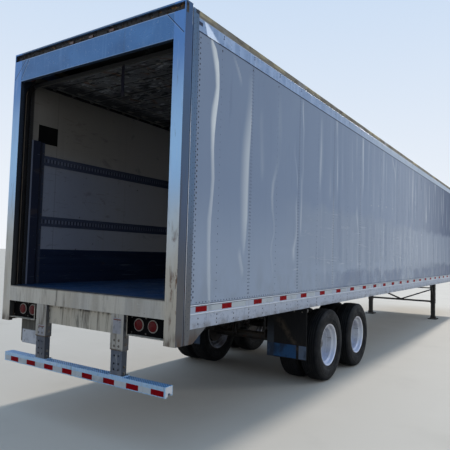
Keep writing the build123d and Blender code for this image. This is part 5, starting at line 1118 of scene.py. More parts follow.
def creases(x, z):
    """The depth of the right wall's buckles at each place, and how strong the painted highlight along their
    crests is there.
    """
    depth, painted_highlight = np.zeros_like(x), np.zeros_like(x)
    for table, slope, highlight_strength, (high, low), reach, run in NEAR_CREASES:
        rear, front = across(z, table, 1), across(z, table, 2)
        wide = front - rear
        u = (x - rear) / wide
        zone = fade(z, high, low)
        top = slope * wide / 2.4
        flank = top * (1 - np.clip(u, 0, 1) ** 2.4)
        behind = top * (1 - smooth01(-u * wide / 0.30))
        depth += zone * np.where(u > 1, 0.0, np.where(u < 0, behind, flank))
        shine = smooth01((u + reach) / run) * smooth01((1.06 - u) / 0.14)
        painted_highlight = np.maximum(painted_highlight, across(z, highlight_strength, 1) * zone * shine)
    for number, (table, half, slope, way, highlight_strength) in enumerate(THIN_CREASES + tuple(FAINT_CREASES)):
        line = across(z, table, 1)
        away = (x - line) * way
        zone = fade(z, table[0][0], table[-1][0], 0.22)
        turn = number * 1.7
        strong = np.clip(0.58 + 0.38 * np.sin(3.3 * z + turn) + 0.22 * np.sin(7.9 * z + 2.3 * turn), 0.08, 1.1)
        wide = half * (1.05 + 0.55 * np.sin(2.4 * z + 1.9 * turn))
        top = slope * half
        rise = top * smooth01((away + half) / (2 * half))
        fall = 1 - smooth01((away - half) / 0.16)
        depth += zone * (0.5 + 0.5 * strong) * rise * fall
        painted_highlight = np.maximum(painted_highlight, 0.55 * highlight_strength * strong * zone * np.exp(-((x - line) / wide) ** 2))
    return depth, painted_highlight


# What the dents of the left and right walls are drawn from
DENT_SEEDS = {1: 9, -1: 5}


def dents(x, z, side):
    """How far the sheet stands in from flat at each place, in metres, and how strong the painted highlight is
    there. Posts hold it.
    """
    local = np.random.default_rng(DENT_SEEDS[side])
    depth = np.zeros_like(x)
    place = (x - REAR) / POST
    k = np.floor(place).astype(int)
    u = place - k
    for b in range(int((WALL_END - REAR) / POST) + 2):
        inside = k == b
        if not inside.any():
            continue
        size = local.uniform(0.0012, 0.0034) * local.choice((1, 1, -0.25))
        lean = local.uniform(0.7, 1.5)
        zone = smooth01((z - 1.34) / 0.25) * smooth01((3.9 - z) / 0.25)
        wave = 0.75 + 0.25 * np.sin(z * local.uniform(1.5, 3.5) + local.uniform(0, 6.28))
        depth += inside * size * np.sin(np.pi * np.clip(u, 0, 1) ** lean) ** 2 * zone * wave
    for _ in range(46):
        cx, half = local.uniform(WALL_START, WALL_END), local.uniform(0.06, 0.13)
        top, low = local.uniform(2.6, 3.85), local.uniform(1.4, 2.7)
        if top - low < 0.5:
            continue
        wander = 0.03 * np.sin(z * local.uniform(2, 5) + local.uniform(0, 6.28))
        away = (x - cx - wander) / half
        zone = smooth01((z - low) / 0.3) * smooth01((top - z) / 0.3)
        depth += local.uniform(0.001, 0.0035) * np.exp(-away * away) * zone
    for _ in range(26):
        cx, cz = local.uniform(WALL_START, WALL_END), local.uniform(1.45, 2.4)
        a, b = local.uniform(0.05, 0.2), local.uniform(0.02, 0.07)
        depth += local.uniform(0.001, 0.003) * np.exp(-((x - cx) / a) ** 2 - ((z - cz) / b) ** 2)
    held = smooth01(np.abs(place - np.round(place)) * POST / 0.03)
    depth = depth * (0.25 + 0.75 * held)
    painted_highlight = np.zeros_like(x)
    if side < 0:
        buckles, painted_highlight = creases(x, z)
        depth = depth * (1 - 0.7 * smooth01((-6.2 - x) / 0.5)) + buckles
    return depth, painted_highlight


def side_wall(hand, side):
    """Outer sheets with their laps and dents, the lining boards inside, and the edges between them."""
    wall = Shape()
    start, end = WALL_START + 0.0006, WALL_END - 0.0009
    columns = set(np.round(np.linspace(start, end, 560), 4))
    for s in SEAMS:
        columns |= {round(s - 0.012, 4), round(s - 0.0005, 4), round(s + 0.0005, 4), round(s + 0.012, 4)}
    if side < 0:
        for low, high, pitch in ((-7.70, -7.55, 0.005), (-7.30, -6.90, 0.010), (-6.42, -6.18, 0.009),
                (-5.82, -5.50, 0.010)):
            columns |= set(np.round(np.arange(low, high, pitch), 4))
        for table, half, *rest in THIN_CREASES[7:]:
            middle = sum(p[1] for p in table) / len(table)
            columns |= set(np.round(np.linspace(middle - 1.6 * half, middle + 1.6 * half, 9), 4))
    columns = np.array(sorted(c for c in columns if start <= c <= end))
    rows = np.concatenate(
        ([1.3392, 1.345], np.linspace(1.36, 3.88, 96 if side < 0 else 64), [3.893, 3.8995, 3.9298]))
    x, z = np.meshgrid(columns, rows)
    if side < 0:
        # the mesh's own lines bend to follow the two great buckles, so that their crests stay sharp
        for number, left, right, rear_line, front_line in ((0, -7.84, -7.50, -7.66, -7.60),
                (1, -7.30, -6.8899, -7.05, -6.93)):
            table = NEAR_CREASES[number][0]
            for i, height in enumerate(rows):
                moved = [left, float(across(height, table, 1)), float(across(height, table, 2)), right]
                inside = (x[i] > left) & (x[i] < right)
                x[i][inside] = np.interp(x[i][inside], [left, rear_line, front_line, right], moved)
    sunk = dents(x, z, side)[0]
    sunk *= slack(z) * smooth01((x - start) / 0.05) * smooth01((end - x) / 0.05)
    sunk = np.clip(sunk + lap_step(x), -0.0008, 0.020)
    y = side * (SKIN - 0.0006 - sunk)
    outer = np.stack((x, y, z), -1).tolist()
    wall.grid(outer, 0, True)
    heights = np.linspace(1.3392, 3.9298, 10)
    lining = [[(float(a), side * INNER, float(b)) for a in np.linspace(start, end, 80)] for b in heights]
    wall.grid(lining, 1, False)
    for rim in (outer[0], outer[-1], [row[0] for row in outer], [row[-1] for row in outer]):
        wall.grid([rim, [(a, side * INNER, c) for a, _, c in rim]], 2, False)
    # the patch of a hatch cover on the lining
    if side > 0:
        wall.box((REAR + 0.33, REAR + 0.61), (INNER - 0.004, INNER), (3.125, 3.35), 3)
        wall.box((REAR + 0.322, REAR + 0.618), (INNER - 0.002, INNER), (3.117, 3.358), 1)
    paints = ("sheet_paint", "liner_board", "aluminium_rail", "pocket")
    piece = wall.make(f"sheets_{hand}", paints, replaces=(f"side_wall_{hand}",))
    # the strength of the painted highlight at each place goes with the mesh, for the paint to read
    mesh = piece.data
    places = np.zeros(len(mesh.vertices) * 3)
    mesh.vertices.foreach_get("co", places)
    places = places.reshape(-1, 3)
    on_sheet = places[:, 1] * side > SKIN - 0.03
    highlight_strength = np.where(on_sheet, dents(places[:, 0], places[:, 2], side)[1], 0.0)
    mesh.attributes.new("painted_highlight", "FLOAT", "POINT").data.foreach_set("value", highlight_strength.astype(np.float32))


def wall_rivets(hand, side):
    """Rows of rivets: at each post, twice at each lap, and along the foot of the sheets."""
    rivets = Shape()
    face = side * (SKIN - 0.0006)

    def rivet(x, z, size=0.0045, ring=0.0075, tint=0):
        here = dents(np.array([x]), np.array([z]), side)[0][0]
        y = face - side * (max(here * float(slack(z)), 0) + float(lap_step(x)))
        rivets.lathe((x, y, z), (0, side, 0), [(0.0001, ring), (0.0003, ring * 0.96), (0.0003, 0)], 7, tint + 1,
            False)
        rivets.lathe((x, y, z), (0, side, 0), [(0.0003, size), (0.0016, size * 0.8), (0.0022, 0)], 7, tint)

    # two dark staggered columns beside the rear frame, and a dark head at the top of the first posts
    for h in np.arange(1.385, 3.87, PITCH):
        tint = 2 if h > 2.15 else 0
        rivet(WALL_START + 0.011, h, 0.0062, 0.0100, tint)
        rivet(WALL_START + 0.036, h + 0.0254, 0.0070, 0.0115, tint)
    for k in (1, 2, 3):
        rivet(REAR + POST * k, 3.852, 0.006, 0.0105, 2)
    for k in range(1, 26):
        x = REAR + POST * k
        if x > WALL_END - 0.03:
            break
        for h in ROW_HEIGHTS:
            if k % 2 == 0:
                rivet(x - 0.010, h)
                rivet(x + 0.016, h + 0.038)
                if k <= 8:
                    rivet(x - 0.010, h + 0.038)
                    rivet(x + 0.016, h)
            else:
                rivet(x, h, 0.004, 0.006)
    for x in np.arange(WALL_START + 0.09, WALL_END - 0.02, PITCH):
        rivet(x, 1.3585, 0.0045, 0.0075)
    rivets.make(f"rivets_{hand}", ("rivet_metal", "rivet_dirt", "rivet_edge", "rivet_edge"))


def rail_details(hand, side):
    """Fasteners on the bottom rail."""
    rail = Shape()
    face = side * SKIN
    for k in range(52):
        x = REAR + 0.33 + 0.305 * k
        if x > WALL_END - 0.03:
            break
        heights = (1.145, 1.185, 1.225) if k % 2 else (1.16, 1.21)
        for h in heights:
            ring = [(0.0001, 0.009), (0.0004, 0.0085), (0.0004, 0)]
            rail.lathe((x, face, h), (0, side, 0), ring, 8, 1, False)
            rail.dome((x, face + side * 0.0004, h), (0, side, 0), 0.0062, 0.0028, 8, 0)
        rail.dome((x + 0.10, face, 1.156), (0, side, 0), 0.0045, 0.0022, 8, 0)
    rail.make(f"rail_fasteners_{hand}", ("bolt_metal", "rivet_dirt"))


# Where each red block of the side's tape starts, from the rear face. Beyond the last they are evenly spaced.
RED_STARTS = (0.286, 0.721, 1.348, 1.969, 2.558, 3.186, 3.815, 4.432, 5.054, 5.652)
RED_LENGTH, WHITE_LENGTH = 0.178, 0.279


def side_tape(hand, side):
    strip = Shape()
    starts = list(RED_STARTS)
    while starts[-1] < 15.2:
        starts.append(starts[-1] + 0.612)
    y = (side * (SKIN + 0.0001), side * (SKIN + 0.0006))
    z = (1.270, 1.321)
    for k, s in enumerate(starts):
        red_end = REAR + s + RED_LENGTH
        strip.box((REAR + s, red_end), y, z, 0)
        following = starts[k + 1] if k + 1 < len(starts) else s + 0.6
        white = min(WHITE_LENGTH, following - s - RED_LENGTH)
        if red_end + white < WALL_END:
            strip.box((red_end + 0.0005, red_end + white), y, z, 1)
    strip.make(f"side_tape_{hand}", ("tape_red", "tape_white"))


# Where each red block of the guard bar's tape starts and ends, from the trailer's right to its left
BAR_RED = ((-1.185, -1.034), (-0.88, -0.727), (-0.57, -0.42), (-0.261, -0.114), (0.042, 0.191), (0.342, 0.487),
    (0.643, 0.791), (0.944, 1.083))


def bar_tape():
    """Red and white blocks along the guard bar's rear face, and the plates that close its ends."""
    strip = Shape()
    x = (REAR + 0.0012, REAR + 0.0019)
    z = (0.5445, 0.5945)
    for k, (low, high) in enumerate(BAR_RED):
        strip.box(x, (low, high), z, 0)
        white = BAR_RED[k + 1][0] - 0.001 if k + 1 < len(BAR_RED) else 1.185
        strip.box(x, (high + 0.001, white), z, 1)
    for side in SIDES:
        y0, y1 = side * 1.1985, side * 1.2015
        outline = [(REAR + 0.0085, 0.5425), (REAR + 0.0085, 0.6255), (REAR + 0.0135, 0.629),
            (REAR + 0.0915, 0.629), (REAR + 0.0975, 0.6255), (REAR + 0.0975, 0.5565), (REAR + 0.072, 0.5565),
            (REAR + 0.066, 0.57), (REAR + 0.042, 0.57), (REAR + 0.036, 0.5425)]
        strip.plate(outline, min(y0, y1), max(y0, y1), 2)
    strip.make("guard_bar_tape", ("tape_red", "tape_white", "end_paint"))


def guard_hardware():
    """Bolts of the guard posts, the blank labels on them, and the clips that hold the bar."""
    kit = Shape()
    for side in SIDES:
        y = side * 0.578
        for dy in (-0.030, 0.030):
            for z in (0.912, 0.967):
                kit.bolt((REAR + 0.0018, y + dy, z), (-1, 0, 0), 0.011, 0.0006, 1, False)
                kit.lathe((REAR + 0.0019, y + dy, z), (-1, 0, 0), [(0, 0.0135), (0.0012, 0.0125), (0.0012, 0)],
                    12, 0, False)
        # bolts through the sides of the sleeve, and the gusset behind it
        for edge in (-1, 1):
            for z in (0.93, 1.0, 1.07, 1.15):
                kit.bolt((REAR + 0.042, y + edge * 0.085, z), (0, edge, 0), 0.012, 0.011, 0)
        for z in (0.66, 0.72):
            for edge in (-1, 1):
                kit.bolt((REAR + 0.042, y + edge * 0.075, z), (0, edge, 0), 0.010, 0.009, 0)
        # a blank label on the sleeve, and its darker head
        mid, low, high = (y, 1.030, 1.178) if side < 0 else (y - 0.012, 0.884, 0.996)
        kit.box((REAR + 0.0012, REAR + 0.0019), (mid - 0.055, mid + 0.054), (low, high), 3)
        kit.box((REAR + 0.0008, REAR + 0.0012), (mid - 0.048, mid + 0.047), (high - 0.022, high - 0.010), 4)
        # the clip that ties the post to the bar
        kit.box((REAR + 0.006, REAR + 0.098), (y - 0.095, y + 0.095), (0.6323, 0.640), 2)
        for dx in (0.028, 0.08):
            for edge in (-1, 1):
                kit.bolt((REAR + dx, y + edge * 0.084, 0.640), (0, 0, 1), 0.008, 0.007, 0)
    paints = ("bolt_metal", "dark_rubber", "guard_bar_metal", "label", "label_head")
    kit.make("guard_hardware", paints)


def tail_lights():
    """Round lamps: a ribbed grommet, the lens with its rings, and the plug behind."""
    lamps = Shape()
    for side in SIDES:
        for y in (0.808, 0.982):
            centre = (REAR + 0.060, side * y, LAMP_Z)
            lamps.lathe(centre, (-1, 0, 0), [(-0.006, 0.0), (-0.006, 0.0555), (0.0, 0.0555)], 40, 2)
            lamps.lathe(centre, (-1, 0, 0),
                [(0.0, 0.0545), (0.0, 0.06), (0.004, 0.0598), (0.0075, 0.0575), (0.0082, 0.0545),
                    (0.0072, 0.0525), (0.0035, 0.051)], 48, 1)
            lens = [(0.002, 0.0508), (0.0085, 0.0505), (0.0122, 0.0485), (0.0132, 0.0465), (0.0126, 0.045),
                (0.0136, 0.0425), (0.013, 0.033), (0.0138, 0.0315), (0.0132, 0.018), (0.0139, 0.0165),
                (0.0136, 0.0)]
            lamps.lathe(centre, (-1, 0, 0), lens, 48, 0)
            lamps.lathe((REAR + 0.066, side * y, LAMP_Z), (1, 0, 0),
                [(0, 0.034), (0.018, 0.03), (0.022, 0.018), (0.022, 0.0)], 24, 2)
    lamps.make("tail_lights", ("lens_red", "grommet", "dark_rubber"), replaces=("tail_lamps",))


def tyre_profile():
    """Half a tyre from bead to crown: distance from its middle, radius, and whether shoulder blocks bite in."""
    points = [(0.0975, 0.2895, 0), (0.1005, 0.296, 0), (0.1035, 0.303, 0), (0.109, 0.3065, 0),
        (0.1125, 0.313, 0), (0.116, 0.315, 0), (0.1175, 0.3215, 0), (0.121, 0.326, 0), (0.1262, 0.34, 0),
        (0.1305, 0.356, 0), (0.1318, 0.36, 0), (0.1335, 0.3606, 0), (0.1362, 0.372, 0), (0.1381, 0.386, 0),
        (0.1392, 0.401, 0), (0.1393, 0.413, 0), (0.1387, 0.425, 0), (0.1374, 0.438, 0), (0.1361, 0.4455, 0),
        (0.1366, 0.4475, 0), (0.1354, 0.454, 0), (0.1338, 0.4552, 0), (0.1316, 0.465, 0), (0.1283, 0.476, 0),
        (0.1248, 0.4865, 0), (0.1215, 0.4925, 0.4), (0.118, 0.4985, 1), (0.113, 0.5045, 1), (0.1085, 0.509, 1),
        (0.1045, 0.5117, 0.5)]

    def crown(y):
        return 0.5178 - 0.0062 * (y / 0.1045) ** 2

    grooves = ((0.0815, 0.0052), (0.0490, 0.0060), (0.0165, 0.0060))
    for y, half in grooves:
        points.append((y + half + 0.0012, crown(y + half), 0))
        points.append((y + half, crown(y + half) - 0.0012, 0))
        points.append((y + half * 0.55, crown(y) - 0.0135, 0))
        points.append((y - half * 0.55, crown(y) - 0.0135, 0))
        points.append((y - half, crown(y - half) - 0.0012, 0))
        points.append((y - half - 0.0012, crown(y - half), 0))
        points.append((y - half - 0.013, crown(y - half - 0.013), 0))
    points.append((0.0, crown(0.0), 0))
    return points


def tyres(place, axle_x, side):
    """The twin tyres of one wheel body. Every third row round them bites into the shoulders."""
    pair = Shape()
    half = tyre_profile()
    inner = [(-0.062, 0.2789, 0), (-0.096, 0.318, 0), (-0.119, 0.404, 0), (-0.104, 0.478, 0),
        (-0.06, 0.4975, 0), (0.0, 0.4985, 0), (0.06, 0.4975, 0), (0.104, 0.478, 0), (0.119, 0.404, 0),
        (0.096, 0.318, 0), (0.062, 0.2789, 0)]
    ring = half + [(-y, r, c) for y, r, c in half[-2::-1]] + inner
    turns = 150
    for twin in (-0.1715, 0.1715):
        middle = side * (DUAL_Y + twin)
        rows = []
        for k in range(turns):
            a = 2 * math.pi * k / turns
            bite = k % 3 == 0
            row = []
            for y, r, c in ring:
                r -= 0.0042 * c * bite
                row.append((axle_x + r * math.sin(a), middle + y - math.copysign(0.002 * c * bite, y),
                    AXLE_Z + r * math.cos(a)))
            rows.append(row)
        rows.append(rows[0])
        pair.grid(rows, 0, True, True)
    tyre = f"tyre_{place.split('_')[0]}"
    pair.make(f"visual_tyres_{place}", (tyre,), f"wheels_{place}", (f"tyres_{place}",))


def wheel_hardware(place, axle_x, side):
    """Lug nuts, the hub cap's bolts, window and band, and the outer tyre's valve stem."""
    kit = Shape()
    out = (0, side, 0)
    face = side * (DUAL_Y + 0.0112)
    for k in range(10):
        a = 2 * math.pi * k / 10
        centre = Vector((axle_x + 0.1429 * math.cos(a), face, AXLE_Z + 0.1429 * math.sin(a)))
        kit.lathe(centre, out, [(0, 0.0235), (0.004, 0.0235), (0.0046, 0.0185)], 20, 0)
        kit.lathe(centre + Vector(out) * 0.0045, out,
            [(0, 0.019), (0.021, 0.019), (0.0235, 0.0165), (0.0235, 0.0115)], 6, 0, False)
        kit.lathe(centre + Vector(out) * 0.022, out,
            [(0, 0.0112), (0.014, 0.0112), (0.0155, 0.01), (0.0155, 0)], 14, 0)
    cap = side * (DUAL_Y + 0.1045)
    for k in range(6):
        a = 2 * math.pi * (k + 0.5) / 6
        kit.bolt((axle_x + 0.0655 * math.cos(a), cap + side * 0.0455, AXLE_Z + 0.0655 * math.sin(a)), out,
            0.0062, 0.006, 0)
    kit.lathe((axle_x, side * (DUAL_Y + 0.1615), AXLE_Z), out,
        [(0, 0.034), (0.0015, 0.033), (0.0022, 0.028), (0.0022, 0)], 32, 1)
    kit.lathe((axle_x, side * (DUAL_Y + 0.145), AXLE_Z), out,
        [(0, 0.0745), (0.004, 0.0755), (0.008, 0.0735), (0.009, 0.069)], 40, 0)
    # the outer tyre's valve stem, through one of the hand holes
    stem = [(axle_x + reach * math.cos(0.3), side * (DUAL_Y + along), AXLE_Z + reach * math.sin(0.3))
        for reach, along in ((0.2445, 0.142), (0.232, 0.152), (0.224, 0.172), (0.222, 0.212))]
    kit.tube(stem, 0.0038, 10, 2)
    kit.rod(stem[-1], Vector(stem[-1]) + Vector(out) * 0.014, 0.0055, 10, 1)
    paints = ("bolt_metal", "dark_rubber", "alloy")
    kit.make(f"wheel_hardware_{place}", paints, f"wheels_{place}")


def slotted_tracks():
    """Two rows of slotted rail along each lining, each slot a real hole in the raised face."""
    tracks = Shape()
    x0, x1 = GUARD_END, WALL_END
    count = int((x1 - x0 - 0.03) / PITCH)
    for side in SIDES:
        for centre in (2.156, 2.916):
            face, foot, wall = INNER - 0.013, INNER - 0.004, INNER
            crown = 0.03125
            section = [(wall, -0.0625), (foot, -0.0625), (foot, -crown - 0.009), (face, -crown), (face, -0.024)]
            for sign in (1, -1):
                strip = [[(x, side * y, centre + sign * dz) for y, dz in section] for x in (x0, x1)]
                tracks.grid(strip, 0, False)
                for row in strip:
                    edge = [row[0], row[1], row[2], row[3], (row[3][0], side * wall, row[3][2])]
                    tracks.add(edge, [(0, 1, 2, 4), (2, 3, 4)], 0)
            levels = (centre - 0.024, centre + 0.024)
            marks = [x0]
            for k in range(count):
                a = x0 + 0.02 + k * PITCH
                marks += [a, a + 0.0165]
            marks.append(x1)
            for k, (a, b) in enumerate(zip(marks, marks[1:])):
                front = [(a, side * face, levels[0]), (b, side * face, levels[0]),
                    (b, side * face, levels[1]), (a, side * face, levels[1])]
                if k % 2:
                    # a slot: its four cheeks and the dark behind it
                    deep = [(x, side * (face + 0.0105), z) for x, _, z in front]
                    tracks.add(front + deep, [(0, 1, 5, 4), (1, 2, 6, 5), (2, 3, 7, 6), (3, 0, 4, 7)], 0)
                    tracks.add(deep, [(0, 1, 2, 3)], 1)
                else:
                    tracks.add(front, [(0, 1, 2, 3)], 0)
            for k in range(int((x1 - x0) / 0.2032)):
                for dz in (-0.052, 0.052):
                    tracks.dome((x0 + 0.08 + k * 0.2032, side * foot, centre + dz), (0, -side, 0), 0.005,
                        0.0022, 6, 2)
    paints = ("track_paint", "dark_rubber", "bolt_metal")
    tracks.make("slotted_tracks", paints, replaces=("logistics_tracks",))


def lining_hardware():
    """Screws of the scuff liners and track guards, and the angle at the head of the front wall."""
    kit = Shape()
    for side in SIDES:
        for k in range(38):
            x = REAR + 0.50 + 0.4 * k
            if x > WALL_END - 0.05:
                break
            for z in (1.4065, 1.513, 1.62, 1.727):
                kit.dome((x, side * (INNER - 0.004), z), (0, -side, 0), 0.006, 0.0028, 6, 0)
        for k in range(9):
            z = 1.48 + 0.19 * k
            kit.bolt((REAR + 0.412, side * (INNER - 0.006), z), (0, -side, 0), 0.006, 0.005, 0)
    kit.box((7.872, 7.880), (-1.235, 1.235), (3.925, 4.100))
    kit.box((7.880, 7.896), (-1.235, 1.235), (3.925, 3.929))
    kit.make("lining_hardware", ("bolt_metal",))


def door_details():
    """The stiles of the raised door's sections, and the rivets of its stiles and hinges."""
    kit = Shape()
    z_mid = OPENING_TOP + 0.072
    low = z_mid - 0.0095
    for k in range(1, 8):
        start = REAR + 0.200 + k * SECTION
        for side in SIDES:
            kit.box((start + 0.004, start + 0.296), (side * 1.155, side * 1.208), (low - 0.0022, low), 0)
            for dx in (0.03, 0.12, 0.20, 0.27):
                kit.dome((start + dx, side * 1.182, low - 0.0022), (0, 0, -1), 0.005, 0.0024, 7, 1)
        for y in (-0.80, -0.27, 0.27, 0.80):
            kit.box((start + 0.012, start + 0.288), (y - 0.021, y + 0.021), (low - 0.0018, low), 0)
            for dx in (0.03, 0.15, 0.27):
                kit.dome((start + dx, y, low - 0.0018), (0, 0, -1), 0.004, 0.002, 6, 1)
        for y in (-1.08, -0.54, 0.0, 0.54, 1.08):
            for dx in (-0.034, 0.036):
                for dy in (-0.02, 0.02):
                    if k == 1 and dx < 0:
                        continue
                    kit.dome((start + dx, y + dy, low - 0.0032), (0, 0, -1), 0.004, 0.0024, 6, 1)
    kit.make("door_details", ("door_metal", "bolt_metal"))


def frame_hardware():
    """Fasteners of the skirt, the lamp boxes and the number plate, and the plugs behind the lamps."""
    kit = Shape()
    # fasteners along the skirt and the lamp boxes
    for k in range(9):
        y = -0.45 + k * 0.1125
        kit.dome((REAR + 0.040, y, 1.198), (-1, 0, 0), 0.006, 0.003, 8, 0)
    for side in SIDES:
        for y, z in ((0.716, 1.055), (0.716, 1.195), (1.145, 1.055), (1.145, 1.195), (0.895, 1.200),
                (0.895, 1.056)):
            kit.bolt((REAR + 0.060, side * y, z), (-1, 0, 0), 0.006, 0.005, 0)
        # the wiring plugs' strain bosses behind the box
        kit.lathe((REAR + 0.066, side * 0.895, LAMP_Z), (1, 0, 0), [(0, 0.02), (0.02, 0.016), (0.02, 0)], 14, 1)
    for dy in (-0.11, 0.11):
        for dz in (-0.052, 0.052):
            kit.bolt((REAR + 0.0578, 0.8245 + dy, 0.833 + dz), (-1, 0, 0), 0.005, 0.004, 0)
    kit.make("frame_hardware", ("bolt_metal", "dark_rubber"))


def chassis_hardware():
    """Bolts of the landing legs' plates and braces, the feet's pins and a collar on each leg."""
    kit = Shape()
    leg_x = REAR + 12.750
    for side in SIDES:
        y = side * 0.950
        for dx in (-0.23, -0.15, 0.15, 0.23):
            for dy in (-0.07, 0.07):
                kit.bolt((leg_x + dx, y + dy, 1.236), (0, 0, -1), 0.012, 0.011, 0)
        for z in (0.56, 0.60, 0.88, 0.92):
            for dx in (-0.035, 0.035):
                kit.bolt((leg_x + dx, y + side * 0.0625, z), (0, side, 0), 0.010, 0.009, 0)
        kit.box((leg_x - 0.0655, leg_x + 0.0655), (y - 0.0655, y + 0.0655), (0.470, 0.492), 1)
        kit.lathe((leg_x, y + side * 0.078, 0.062), (0, side, 0), [(0, 0.02), (0.006, 0.02), (0.007, 0)], 20, 0)
    kit.make("chassis_hardware", ("bolt_metal", "chassis_paint"), bevel=0.0008)


def bogie_hardware():
    """The hangers' pivots and the flaps' bolts."""
    kit = Shape()
    middle = (AXLES["rear"] + AXLES["front"]) / 2
    for side in SIDES:
        for hanger_x in (middle + 1.1225, middle):
            for edge in (-1, 1):
                nut = [(0, 0.03), (0.004, 0.03), (0.005, 0.022), (0.02, 0.022), (0.022, 0.018), (0.022, 0)]
                kit.lathe((hanger_x, side * 0.545 + edge * 0.052, 0.558), (0, edge, 0), nut, 18, 0)
        for k in range(5):
            y = side * (0.66 + 0.12 * k)
            kit.bolt((REAR + 2.9395, y, 1.040), (-1, 0, 0), 0.008, 0.007, 0)
    kit.make("bogie_hardware", ("bolt_metal",), "bogie")


def nose_rivets():
    """Rivets across the front wall and round its corners."""
    rivets = Shape()
    x = FRONT - 0.004
    for y in (-1.09, -0.61, 0.0, 0.61, 1.09):
        for h in ROW_HEIGHTS:
            rivets.dome((x, y, h), (1, 0, 0), 0.0045, 0.0022, 7, 0)
    for y in np.arange(-1.08, 1.09, PITCH):
        rivets.dome((x, y, 1.3585), (1, 0, 0), 0.0045, 0.0022, 7, 0)
    for side in SIDES:
        for a in (22.5, 45, 67.5):
            c, s = math.cos(math.radians(a)), math.sin(math.radians(a))
            for h in ROW_HEIGHTS[::2]:
                rivets.dome((WALL_END + 0.146 * c, side * (HALF - 0.15 + 0.146 * s), h), (c, side * s, 0),
                    0.004, 0.002, 6, 0)
    rivets.make("nose_rivets", ("rivet_metal",))


for finish in FINISHES.values():
    finish.build()

# The CAD nodes that stay as they are: their finish, and how far each one's edges are rounded
DRESSING = {
    "front_sheet": {"front_wall": 0},
    "aluminium_rail": {"bottom_rails": 0.0012, "top_rails": 0.0012},
    "roof_metal": {"roof_sheet": 0},
    "floor_planks": {"floor_boards": 0},
    "crossmember_paint": {"crossmembers": 0},
    "rear_frame": {"rear_posts": 0.0022},
    "header_plate": {"rear_header": 0.0020},
    "sill_plate": {"rear_sill": 0},
    "skirt_plate": {"rear_skirt": 0.0010},
    "white_plate": {"number_plate": 0.0008},
    "guard_post_metal": {"guard_posts": 0.0022},
    "guard_bar_metal": {"guard_bar": 0.0020},
    "track_paint": {"scuff_liners": 0},
    "door_track_steel": {"door_tracks": 0},
    "door_metal": {"door_rollers": 0, "door_hinges": 0, "roof_bows": 0},
    "door_board": {"door_sections": 0.0015},
    "balancer_paint": {"door_balancer": 0.002},
    "strap_web": {"door_strap": 0},
    "lens_amber": {"marker_lamps": 0.001},
    "grease_steel": {"kingpin": 0.001},
    "alloy": {"nose_fittings": 0.001},
    "machined_steel": {"lock_pins": 0.001},
    "flap_rubber": {"mud_flaps": 0.001},
    "landing_paint": {
        "landing_legs": 0.003, "landing_feet": 0.0012, "landing_braces": 0.0012, "landing_drive": 0.0012},
    "chassis_paint": {
        "slide_rails": 0.001, "coupler_plate": 0.001, "bogie_frame": 0.002, "spring_hangers": 0.0015,
        "equalizers": 0.002, "leaf_springs": 0.001, "axles": 0, "radius_rods": 0.001, "brake_chambers": 0,
        "flap_bars": 0.001},
    "wheel_rear": {"wheel_rear_left": 0, "wheel_rear_right": 0},
    "wheel_front": {"wheel_front_left": 0, "wheel_front_right": 0},
}
for finish, nodes in DRESSING.items():
    for node, width in nodes.items():
        piece = frame["nodes"][node]
        if not piece.material_slots:
            piece.data.materials.append(None)
        for slot in piece.material_slots:
            slot.material = FINISHES[finish].material
        if width:
            piece.modifiers.new("join", "WELD").merge_threshold = 1e-5
            soften(piece, width, 40)

for end, axle_x in AXLES.items():
    for hand, side in HANDS:
        tyres(f"{end}_{hand}", axle_x, side)
        wheel_hardware(f"{end}_{hand}", axle_x, side)
for hand, side in HANDS:
    side_wall(hand, side)
for hand, side in HANDS:
    wall_rivets(hand, side)
    rail_details(hand, side)
    side_tape(hand, side)
bar_tape()
guard_hardware()
tail_lights()
slotted_tracks()
lining_hardware()
door_details()
frame_hardware()
chassis_hardware()
bogie_hardware()
nose_rivets()


# The floor, the light and the camera


def stage():
    marks = (-400, -60, -30, -15, 15, 30, 60, 400)
    floor = Shape()
    floor.grid([[(x, y, 0.0) for x in marks] for y in marks], 0, False)
    mesh = bpy.data.meshes.new("ground")
    mesh.from_pydata(floor.points, [], floor.faces)
    ground = place_in_scene("ground", mesh)
    f = Finish("ground", (204, 198, 188), 0.9)
    f.shades((196, 190, 180), (210, 204, 195), 0.8, 0.6)
    f.grain(30, 0.0008)
    # the floor is pale to the eye and in mirrors, and throws less light up under the trailer
    f.colour = mix(SEEN, tone(132, 128, 122), f.colour, "RGBA")
    mesh.materials.append(f.build())


# The sky's colours low down and high up, how high the second is reached, and how much light the world gives
SKY_LOW, SKY_HIGH, SKY_TURN, WORLD_LIGHT = (244, 247, 251), (176, 206, 240), 0.75, 0.74


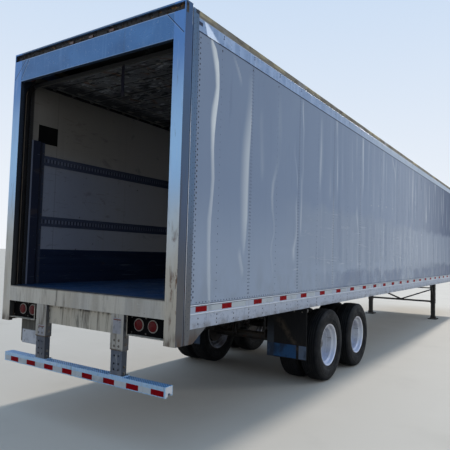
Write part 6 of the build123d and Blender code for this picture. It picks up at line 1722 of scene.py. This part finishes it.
def world():
    """A sky that is bright to the eye and in mirrors, and lights the trailer less."""
    sky = bpy.data.worlds.new("studio")
    bpy.context.scene.world = sky
    sky.use_nodes = True
    sky.node_tree.nodes.clear()
    out = sky.node_tree.nodes.new("ShaderNodeOutputWorld")
    height = Field("SeparateXYZ", {0: Field("TexCoord", {}, "Generated")}, "Z")
    ramp = Field("ValToRGB", {0: height})
    lit, seen = (Field("Background", {"Color": ramp, "Strength": light}) for light in (WORLD_LIGHT, 1))
    built = {}
    Field("MixShader", {0: SEEN, 1: lit, 2: seen}).plug(sky.node_tree, out.inputs["Surface"], built)
    low, high = built[ramp].node.color_ramp.elements
    low.position, low.color = 0, tone(*SKY_LOW)
    high.position, high.color = SKY_TURN, tone(*SKY_HIGH)


def lamp(name, kind, place, target, **settings):
    data = bpy.data.lights.new(name, kind)
    for key, value in settings.items():
        setattr(data, key, value)
    piece = place_in_scene(name, data)
    piece.location = place
    piece.rotation_euler = (Vector(target) - Vector(place)).to_track_quat("-Z", "Y").to_euler()
    piece.visible_camera = False


def lights():
    # the sun stands ahead of the trailer, so its side and rear are in their own shade
    lamp("key", "SUN", (22, 0.5, 10), (0, 0, 0), energy=3.2, angle=math.radians(2.5), color=(1.0, 0.94, 0.85))
    # two tall soft panels, which the sheets' buckles mirror
    lamp("panel_side", "AREA", (10.1, -19.0, 7.5), (-7.3, -1.3, 3.0), energy=1000, shape="RECTANGLE",
        size=2.2, size_y=15.0, color=(1.0, 1.0, 0.97))
    lamp("panel_front", "AREA", (45.0, -5.6, 9.0), (0, -1.3, 3.0), energy=130, shape="RECTANGLE",
        size=2.4, size_y=18.0, color=(1.0, 1.0, 0.98))


# The camera as fitted to the photograph: place, turns in radians, focal length and frame in pixels, sensor mm
EYE, YAW, TILT, ROLL = (-11.4932, -4.0518, 1.8253), 0.5901, 0.0565, 0.0279
FOCAL, FRAME_WIDTH, SENSOR = 493.4552, 450, 36.0


def camera():
    data = bpy.data.cameras.new("camera")
    data.sensor_width = SENSOR
    data.lens = FOCAL / FRAME_WIDTH * SENSOR
    data.clip_start, data.clip_end = 0.05, 1200.0
    ahead = Vector((math.cos(TILT) * math.cos(YAW), math.cos(TILT) * math.sin(YAW), math.sin(TILT)))
    right = ahead.cross(Vector((0, 0, 1))).normalized()
    up = right.cross(ahead)
    right_turned = right * math.cos(ROLL) + up * math.sin(ROLL)
    up_turned = up * math.cos(ROLL) - right * math.sin(ROLL)
    turn = Matrix((right_turned, up_turned, -ahead)).transposed().to_4x4()
    eye = place_in_scene("camera", data)
    eye.matrix_world = Matrix.Translation(EYE) @ turn
    bpy.context.scene.camera = eye


stage()
world()
lights()
camera()
bpy.context.scene.view_settings.view_transform = "Standard"
